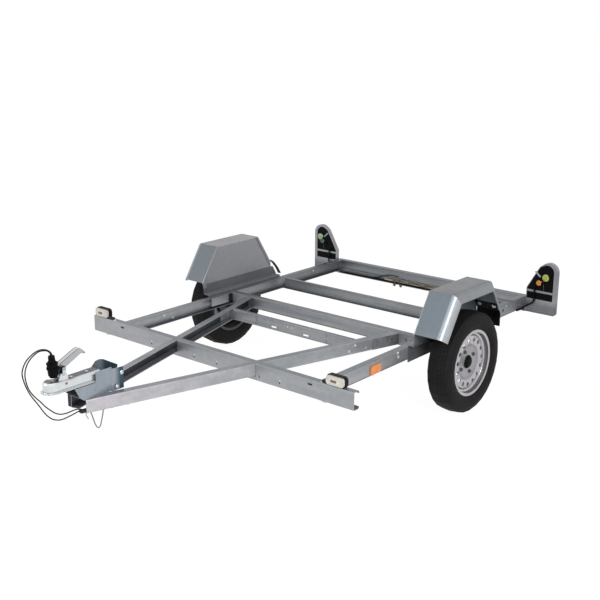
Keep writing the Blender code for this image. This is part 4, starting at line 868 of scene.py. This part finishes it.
def lamp_caps(name, side, upper, lower, white):
    """The bulb's cap with its grip, the indicator's cap and the clip above them."""
    (bulb_x, bulb_z), (turn_x, turn_z), (clip_x, clip_z) = LAMP_SPOTS[name]
    cap = Shape()
    cap.turned(BULB_CAP, (side * bulb_x, LAMP_FRONT, bulb_z), FORWARD, 24)
    grip = rounded_outline(0.030, 0.006, 0.0028)
    start = (side * bulb_x, LAMP_FRONT - 0.0100, bulb_z)
    cap.prism(grip, start, (0.8, 0.0, 0.6), (-0.6, 0.0, 0.8), (0.0, -0.004, 0.0))
    cap.piece(f"bulb_cap_{name}", upper, bevel=0.0005)
    cap = Shape()
    cap.turned(INDICATOR_CAP, (side * turn_x, LAMP_FRONT, turn_z), FORWARD, 20)
    grip = rounded_outline(0.034, 0.007, 0.0032)
    start = (side * (turn_x + 0.006), LAMP_FRONT, turn_z + 0.0035)
    cap.prism(grip, start, (0.85, 0.0, 0.53), (-0.53, 0.0, 0.85), (0.0, -0.0105, 0.0))
    cap.piece(f"indicator_cap_{name}", lower, bevel=0.0005)
    clip = Shape()
    along, across = (side * 0.767, 0.0, -0.641), (side * 0.641, 0.0, 0.767)
    start = (side * clip_x, LAMP_FRONT, clip_z)
    clip.prism(rounded_outline(0.046, 0.009, 0.003), start, along, across, (0.0, -0.007, 0.0))
    clip.piece(f"lamp_clip_{name}", white, bevel=0.0008)


def tower_details(zinc, white):
    """The caps, clip and wire in each tower's window, and the folds in its foot."""
    caps = {
        "left": (lens("lime_cap", (0.40, 0.44, 0.09), 0.35), lens("amber_cap", (0.62, 0.25, 0.03), 0.3)),
        "right": (lens("pale_cap", (0.34, 0.46, 0.26), 0.35), lens("teal_cap", (0.015, 0.090, 0.075), 0.3)),
    }
    olive = matt("olive_wire", (0.10, 0.075, 0.03), 0.5)
    for name, side in SIDES:
        lamp_caps(name, side, *caps[name], white)
        run = [(side * x, LAMP_FRONT - proud, z) for x, proud, z in LAMP_WIRE]
        wire(f"lamp_wire_{name}", run, 0.0017, olive)
        fold = Shape()
        for low, high, proud in FOOT_FOLDS:
            rise = (high - low) * 0.3
            outline = [(0.0, low), (proud, low + rise), (proud, high - rise), (0.0, high)]
            fold.prism(outline, (side * 0.7205, TOWER_FRONT, 0.0), FORWARD, UP, (side * 0.180, 0.0, 0.0))
        fold.piece(f"tower_fold_{name}", zinc, bevel=0.0004)


def rear_wiring():
    """The loom that lies in the rear member: a pale conduit, loose wires, ties and the main cable's rise."""
    beige = matt("beige_tape", (0.40, 0.35, 0.28), 0.6)
    brown = matt("brown_wire", (0.16, 0.11, 0.08), 0.5)
    sage = matt("sage_wire", (0.30, 0.33, 0.27), 0.5)
    steps = [-0.33 + 0.022 * index for index in range(30)]
    conduit = [(x, 1.5010, 0.3145 + 0.0015 * math.sin(x * 31.0)) for x in steps]
    wire("loom_conduit", conduit, 0.0085, beige)
    upper = [(x, 1.5060, 0.3290 + 0.0030 * math.sin(x * 43.0)) for x in steps[1:]]
    wire("loom_wire_upper", upper, 0.0032, sage)
    lower = [
        (x, 1.4915 + 0.0020 * math.sin(x * 37.0), 0.3205 + 0.0030 * math.sin(x * 57.0)) for x in steps[3:]
    ]
    wire("loom_wire_lower", lower, 0.0026, brown)
    rise = [
        (-0.430, 1.4935, 0.3120), (-0.380, 1.4960, 0.3200), (-0.345, 1.5020, 0.3340),
        (-0.310, 1.5075, 0.3440), (-0.270, 1.5085, 0.3465), (-0.230, 1.5085, 0.3455),
    ]
    wire("loom_rise", rise, 0.0032, bpy.data.materials["black_rubber"])
    ties = Shape()
    for x in (-0.245, -0.205, -0.130, 0.000):
        ties.plate(0.006, 0.036, 0.0025, (x, 1.4905, 0.3180), -0.0024)
    ties.piece("loom_ties", brown, bevel=0.0004)
    clips = Shape()
    for x in (-0.235, -0.185):
        clips.plate(0.020, 0.020, 0.008, (x, 1.4752, 0.2975), -0.004)
    clips.piece("loom_clips", brown, bevel=0.0008)


def coupling_details(zinc, dark):
    """The head's wear pin, the bracket's bolts and foot, and the drawbar's end flap, hook and lead gland."""
    pin = Shape()
    pin.rivet((HEAD_HALF, -1.4075, HEAD_TOP - 0.0100), ACROSS, 0.0062, 0.0022)
    pin.piece("wear_pin", lens("wear_pin_red", (0.30, 0.07, 0.04), 0.3))
    flap = Shape()
    flap.plate(0.0245, 0.060, 0.003, (-0.0660, -1.3225, 0.3640), 0.0040)
    flap.piece("drawbar_end_flap", dark, bevel=0.0005)
    hook = [(-1.3190, 0.3330), (-1.3230, 0.3270), (-1.3180, 0.3150), (-1.3100, 0.3014)]
    wire("lead_hook", [(0.0470, y, z) for y, z in hook], 0.0025, zinc)
    gland = Shape()
    tube = rounded_outline(0.026, 0.015, 0.007)
    gland.prism(tube, (0.0345, -1.3420, 0.3425), ACROSS, UP, (0.006, 0.034, 0.0))
    gland.piece("lead_gland", dark, bevel=0.001)
    bolts = Shape()
    for y, z in BRACKET_BOLTS:
        bolts.bolt((BRACKET_X, y, z), ACROSS, 0.0080, 0.0066)
    bolts.piece("bracket_bolts", bpy.data.materials["bolt_zinc"])
    foot = Shape()
    outline = [(-0.014, -0.034), (0.014, -0.040), (0.014, 0.022), (-0.014, 0.014)]
    foot.prism(outline, (0.0440, -1.1400, RAIL_TOP), ACROSS, BACKWARD, (0.0, 0.0, SHEET))
    foot.piece("bracket_foot", bpy.data.materials["bracket_zinc"], bevel=0.0006)


# Wheels


def vent_cutter(name, side):
    """Short cylinders that cut the vents."""
    holes = Shape()
    hole = [(0.0, 0.0), (0.0, VENT_RADIUS), (VENT_CUT, VENT_RADIUS), (VENT_CUT, 0.0)]
    for index in range(VENTS):
        centre = wheel_point(side, VENT_START_X, VENT_CIRCLE, FIRST_VENT + math.tau * index / VENTS)
        holes.turned(hole, centre, (side, 0.0, 0.0), 18)
    return holes.object(f"rim_{name}_vents")


def rim_skin(name, side, material):
    """The pressed wheel, turned smooth, with its disc brought out to where the photo shows it."""
    turns = [math.tau * step / RIM_STEPS for step in range(RIM_STEPS)]
    bm = bmesh.new()
    rings = []
    for along, radius in RIM_PROFILE:
        rings.append([bm.verts.new(wheel_point(side, WHEEL_X + along, radius, turn)) for turn in turns])
    for ring, after in zip(rings, rings[1:] + rings[:1]):
        for step in range(RIM_STEPS):
            turn = (step + 1) % RIM_STEPS
            bm.faces.new((ring[step], ring[turn], after[turn], after[step]))
    bmesh.ops.recalc_face_normals(bm, faces=bm.faces)
    mesh = bpy.data.meshes.new(f"rim_{name}_turned")
    bm.to_mesh(mesh)
    bm.free()
    mesh.materials.append(material)
    obj = scene_object(f"rim_skin_{name}", mesh)
    cutter = vent_cutter(name, side)
    cut = obj.modifiers.new("Vents", "BOOLEAN")
    cut.object = cutter
    cut.solver = "EXACT"
    apply_modifiers(obj, 32.0)
    bpy.data.objects.remove(cutter)
    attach(obj, f"{name}_wheel")
    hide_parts(f"rim_{name}")


def wheel_skins(dark):
    """The turned rims and their bolts."""
    for name, side in SIDES:
        rim_skin(name, side, bpy.data.materials["rim_paint"])
        bolts = Shape()
        for index in range(WHEEL_BOLTS):
            seat = wheel_point(side, BOLT_SEAT_X, BOLT_CIRCLE, FIRST_BOLT + math.tau * index / WHEEL_BOLTS)
            bolts.bolt(seat, (side, 0.0, 0.0), 0.0085, 0.0095)
        bolts.piece(f"wheel_bolts_{name}", dark, f"{name}_wheel")


# Guards


def guard_section(steps=12):
    """(x, drop) points across a guard: flat roof, rounded fold and sloping skirt."""
    edge_x, edge_drop = GUARD_EDGE
    lean = math.atan2(edge_drop, edge_x - GUARD_FOLD_X)
    start = GUARD_FOLD_X - GUARD_FOLD * math.tan(lean / 2)
    points = [(GUARD_X, 0.0)]
    for step in range(steps + 1):
        angle = lean * step / steps
        points.append((start + GUARD_FOLD * math.sin(angle), GUARD_FOLD * (1.0 - math.cos(angle))))
    return points + [GUARD_EDGE]


def inward(before, corner, after, distance):
    """The corner moved inwards by a distance from both of its lines."""
    first, second = (corner - before).normalized(), (after - corner).normalized()
    normals = [Vector((-way.y, way.x)) for way in (first, second)]
    middle = (normals[0] + normals[1]).normalized()
    return corner - middle * (distance / middle.dot(normals[0]))


def guard_skin(name, side, material):
    """The guard's sheet with a smooth fold between its planes and its skirt."""
    ridge = [Vector(point) for point in GUARD_LINE]
    ends = [ridge[0] * 2 - ridge[1], *ridge, ridge[-1] * 2 - ridge[-2]]
    bm = bmesh.new()
    rows = []
    for before, corner, after in zip(ends, ends[1:], ends[2:]):
        row = []
        for x, drop in guard_section():
            point = inward(before, corner, after, drop)
            row.append(bm.verts.new((side * x, AXLE_Y + point.x, point.y)))
        rows.append(row)
    for row, after in zip(rows, rows[1:]):
        for index in range(len(row) - 1):
            bm.faces.new((row[index], row[index + 1], after[index + 1], after[index]))
    feet = [GUARD_LINE[-1][0] + 0.003, GUARD_LINE[0][0] + 0.015]
    feet = [bm.verts.new((side * GUARD_X, AXLE_Y + y, GUARD_FOOT_Z)) for y in feet]
    bm.faces.new([row[0] for row in rows] + feet)
    if side < 0:
        bmesh.ops.reverse_faces(bm, faces=bm.faces)
    mesh = bpy.data.meshes.new(f"guard_{name}")
    bm.to_mesh(mesh)
    bm.free()
    mesh.materials.append(material)
    obj = scene_object(f"guard_sheet_{name}", mesh)
    sheet = obj.modifiers.new("Sheet", "SOLIDIFY")
    sheet.thickness = GUARD_SHEET
    sheet.offset = -1.0
    sheet.use_even_offset = True
    apply_modifiers(obj, 25.0)
    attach(obj, "chassis")
    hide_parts(f"mudguard_{name}")


def guard_hems(material):
    """The rolled seams where a guard's planes meet its inner cheek."""
    for name, side in SIDES:
        points = [(side * (GUARD_X + 0.0007), AXLE_Y + y, z - 0.0021) for y, z in GUARD_LINE]
        wire(f"guard_hem_{name}", points, 0.0022, material)


def flap_edges(material):
    """The flaps' rubber strips that bow out behind the guards' rear slopes."""
    inner = [(y - 0.0022, z - 0.0018) for y, z in FLAP_LINE]
    for name, side in SIDES:
        strip = Shape()
        start = (side * (GUARD_X + 0.0007), AXLE_Y, 0.0)
        strip.prism([*FLAP_LINE, *inner[::-1]], start, BACKWARD, UP, (side * 0.026, 0.0, 0.0))
        strip.piece(f"flap_edge_{name}", material, bevel=0.0006)


def small_pieces():
    bolt = steel("bolt_zinc", (0.60, 0.61, 0.62), 0.3, 0.75, spread=0.03, grain=0.0)
    hem = steel("hem_zinc", (0.42, 0.43, 0.45), 0.3, 0.7, spread=0.03, grain=0.0)
    fold = steel("fold_zinc", (0.20, 0.205, 0.215), 0.38, 0.6, spread=0.04, grain=0.0)
    shaded = steel("bolt_shade", (0.10, 0.105, 0.11), 0.4, 0.6, spread=0.04, grain=0.0)
    black = bpy.data.materials["black_rubber"]
    white = matt("white_plastic", (0.36, 0.37, 0.38), 0.45)
    brown = matt("bulb_brown", (0.19, 0.16, 0.14), 0.4)
    glow = lens("cream_ring", (0.78, 0.74, 0.68), 0.15)
    frame_bolts(bolt)
    flap_bolts(bolt)
    beam_details(bolt, black)
    guard_hems(hem)
    marker_faces(brown, glow)
    tower_details(fold, white)
    rear_wiring()
    for name, side in SIDES:
        guard_skin(name, side, bpy.data.materials["guard_sheet"])
    flap_edges(black)
    wheel_skins(shaded)
    rail_details(black)
    coupling_details(hem, black)


# Leads


def smooth_route(points, spacing):
    """Even points on a smooth curve through the chosen route points."""
    points = [Vector(point) for point in points]
    ends = [points[0] * 2 - points[1], *points, points[-1] * 2 - points[-2]]
    dense = []
    for a, b, c, d in zip(ends, ends[1:], ends[2:], ends[3:]):
        for step in range(20):
            t = step / 20
            bend = (2 * a - 5 * b + 4 * c - d) * t * t + (3 * b - 3 * c + d - a) * t**3
            dense.append(0.5 * (2 * b + (c - a) * t + bend))
    dense.append(points[-1])
    route = [dense[0]]
    travelled = 0.0
    for before, after in zip(dense, dense[1:]):
        travelled += (after - before).length
        if travelled >= spacing:
            route.append(after)
            travelled = 0.0
    route[-1] = dense[-1]
    return route


def leads():
    """The two leads from the drawbar, where they leave the chassis, to the plug. Their y is from the axle."""
    rubber = matt("lead_rubber", (0.010, 0.010, 0.011), 0.45)
    outer = [
        (0.005, -1.972, 0.6249), (0.005, -1.9725, 0.6330), (0.0045, -1.983, 0.6480),
        (0.004, -2.0046, 0.6610), (0.004, -2.0296, 0.6662), (0.0035, -2.0542, 0.6620),
        (0.003, -2.0798, 0.6499), (0.0025, -2.1014, 0.6337), (0.002, -2.1180, 0.6080),
        (0.0015, -2.1240, 0.5800), (0.001, -2.1157, 0.5408), (0.0023, -2.1039, 0.5070),
        (0.0037, -2.0868, 0.4722), (0.005, -2.0570, 0.4260), (0.0073, -2.0285, 0.3787),
        (0.0097, -2.0054, 0.3518), (0.0125, -1.9829, 0.3365), (0.020, -1.9516, 0.3300),
        (0.0283, -1.9035, 0.3387), (0.037, -1.8658, 0.3485), (0.0425, -1.8300, 0.3395),
        (0.046, -1.7900, 0.3381),
    ]
    inner = [
        (-0.005, -1.972, 0.6251), (-0.005, -1.9725, 0.6330), (-0.005, -1.9860, 0.6475),
        (-0.005, -2.0063, 0.6546), (-0.0053, -2.0300, 0.6560), (-0.0055, -2.0520, 0.6480),
        (-0.0055, -2.0750, 0.6334), (-0.0058, -2.0930, 0.6120), (-0.006, -2.1047, 0.5801),
        (-0.0053, -2.1034, 0.5420), (-0.0047, -2.0892, 0.4978), (-0.004, -2.0620, 0.4580),
        (-0.0007, -2.0438, 0.4368), (0.0027, -2.0223, 0.4084), (0.006, -2.0008, 0.3861),
        (0.010, -1.9787, 0.3660), (0.014, -1.9557, 0.3545), (0.018, -1.9326, 0.3510),
        (0.023, -1.9093, 0.3535), (0.028, -1.8860, 0.3575), (0.032, -1.8620, 0.3540),
        (0.035, -1.8300, 0.3405), (0.038, -1.7900, 0.3381),
    ]
    for name, route in (("lead_left", outer), ("lead_right", inner)):
        points = [point + Vector((0.0, AXLE_Y, 0.0)) for point in smooth_route(route, 0.008)][::-1]
        obj = wire(f"{name}_run", points, LEAD_DIAMETER / 2, rubber, roundness=4)
        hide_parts(name)


# Stage


def seen(tree):
    """1 where a ray comes straight from the camera, a mirror or a glass, else 0."""
    path = tree.nodes.new("ShaderNodeLightPath")
    total = path.outputs["Is Camera Ray"]
    for name in ("Is Glossy Ray", "Is Transmission Ray"):
        both = tree.nodes.new("ShaderNodeMath")
        both.operation = "MAXIMUM"
        tree.links.new(total, both.inputs[0])
        tree.links.new(path.outputs[name], both.inputs[1])
        total = both.outputs["Value"]
    return total


def floor():
    """A pale floor that looks white and keeps the chassis's shadow."""
    mesh = bpy.data.meshes.new("floor")
    mesh.from_pydata([(-30, -30, 0), (30, -30, 0), (30, 30, 0), (-30, 30, 0)], [], [(0, 1, 2, 3)])
    obj = scene_object("floor", mesh)
    paint = Nodes("pale_floor", (0.80, 0.80, 0.80), 1.0, 0.0)
    glow = paint.node("ShaderNodeEmission")
    glow.inputs["Strength"].default_value = FLOOR_GLOW
    share = paint.sum("MULTIPLY", seen(paint.tree), FLOOR_SHARE)
    blend = paint.node("ShaderNodeMixShader")
    paint.link(share, blend.inputs["Fac"])
    paint.link(paint.shader.outputs["BSDF"], blend.inputs[1])
    paint.link(glow.outputs["Emission"], blend.inputs[2])
    paint.link(blend.outputs["Shader"], paint.tree.nodes["Material Output"].inputs["Surface"])
    mesh.materials.append(paint.made)


def world():
    """Soft studio light all round, in front of a white background."""
    made = bpy.data.worlds.new("studio")
    bpy.context.scene.world = made
    made.use_nodes = True
    tree = made.node_tree
    soft = tree.nodes["Background"]
    white = tree.nodes.new("ShaderNodeBackground")
    for node, strength in ((soft, SKY), (white, 1.0)):
        node.inputs["Color"].default_value = (1.0, 1.0, 1.0, 1.0)
        node.inputs["Strength"].default_value = strength
    blend = tree.nodes.new("ShaderNodeMixShader")
    tree.links.new(seen(tree), blend.inputs["Fac"])
    tree.links.new(soft.outputs["Background"], blend.inputs[1])
    tree.links.new(white.outputs["Background"], blend.inputs[2])
    tree.links.new(blend.outputs["Shader"], tree.nodes["World Output"].inputs["Surface"])


def area_light(name, place, target, size, power):
    data = bpy.data.lights.new(name, "AREA")
    data.shape = "DISK"
    data.size = size
    data.energy = power
    obj = scene_object(name, data)
    obj.location = place
    obj.rotation_euler = (Vector(target) - Vector(place)).to_track_quat("-Z", "Y").to_euler()


def camera():
    """The photo's view, fitted to the frame's corners, wheels and lamps."""
    level = math.cos(VIEW_ELEVATION)
    back = Vector((math.sin(VIEW_AZIMUTH) * level, -math.cos(VIEW_AZIMUTH) * level, math.sin(VIEW_ELEVATION)))
    right = Vector((math.cos(VIEW_AZIMUTH), math.sin(VIEW_AZIMUTH), 0.0))
    data = bpy.data.cameras.new("camera")
    data.lens = VIEW_LENS
    data.sensor_width = 36.0
    data.shift_x, data.shift_y = VIEW_SHIFT
    place = Matrix((right, back.cross(right), back)).transposed().to_4x4()
    place.translation = Vector(VIEW_TARGET) + back * VIEW_DISTANCE
    obj = scene_object("camera", data)
    obj.matrix_world = place
    bpy.context.scene.camera = obj
    bpy.context.scene.view_settings.view_transform = "Standard"


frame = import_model()
paint_frame(frame["nodes"])
leads()
small_pieces()
floor()
world()
area_light("key", (5.57, -2.54, 3.5), (0.2, 0.0, 0.3), 2.0, 230.0)
area_light("fill", (-1.6, -6.0, 3.0), (0.0, 0.0, 0.3), 3.0, 110.0)
camera()
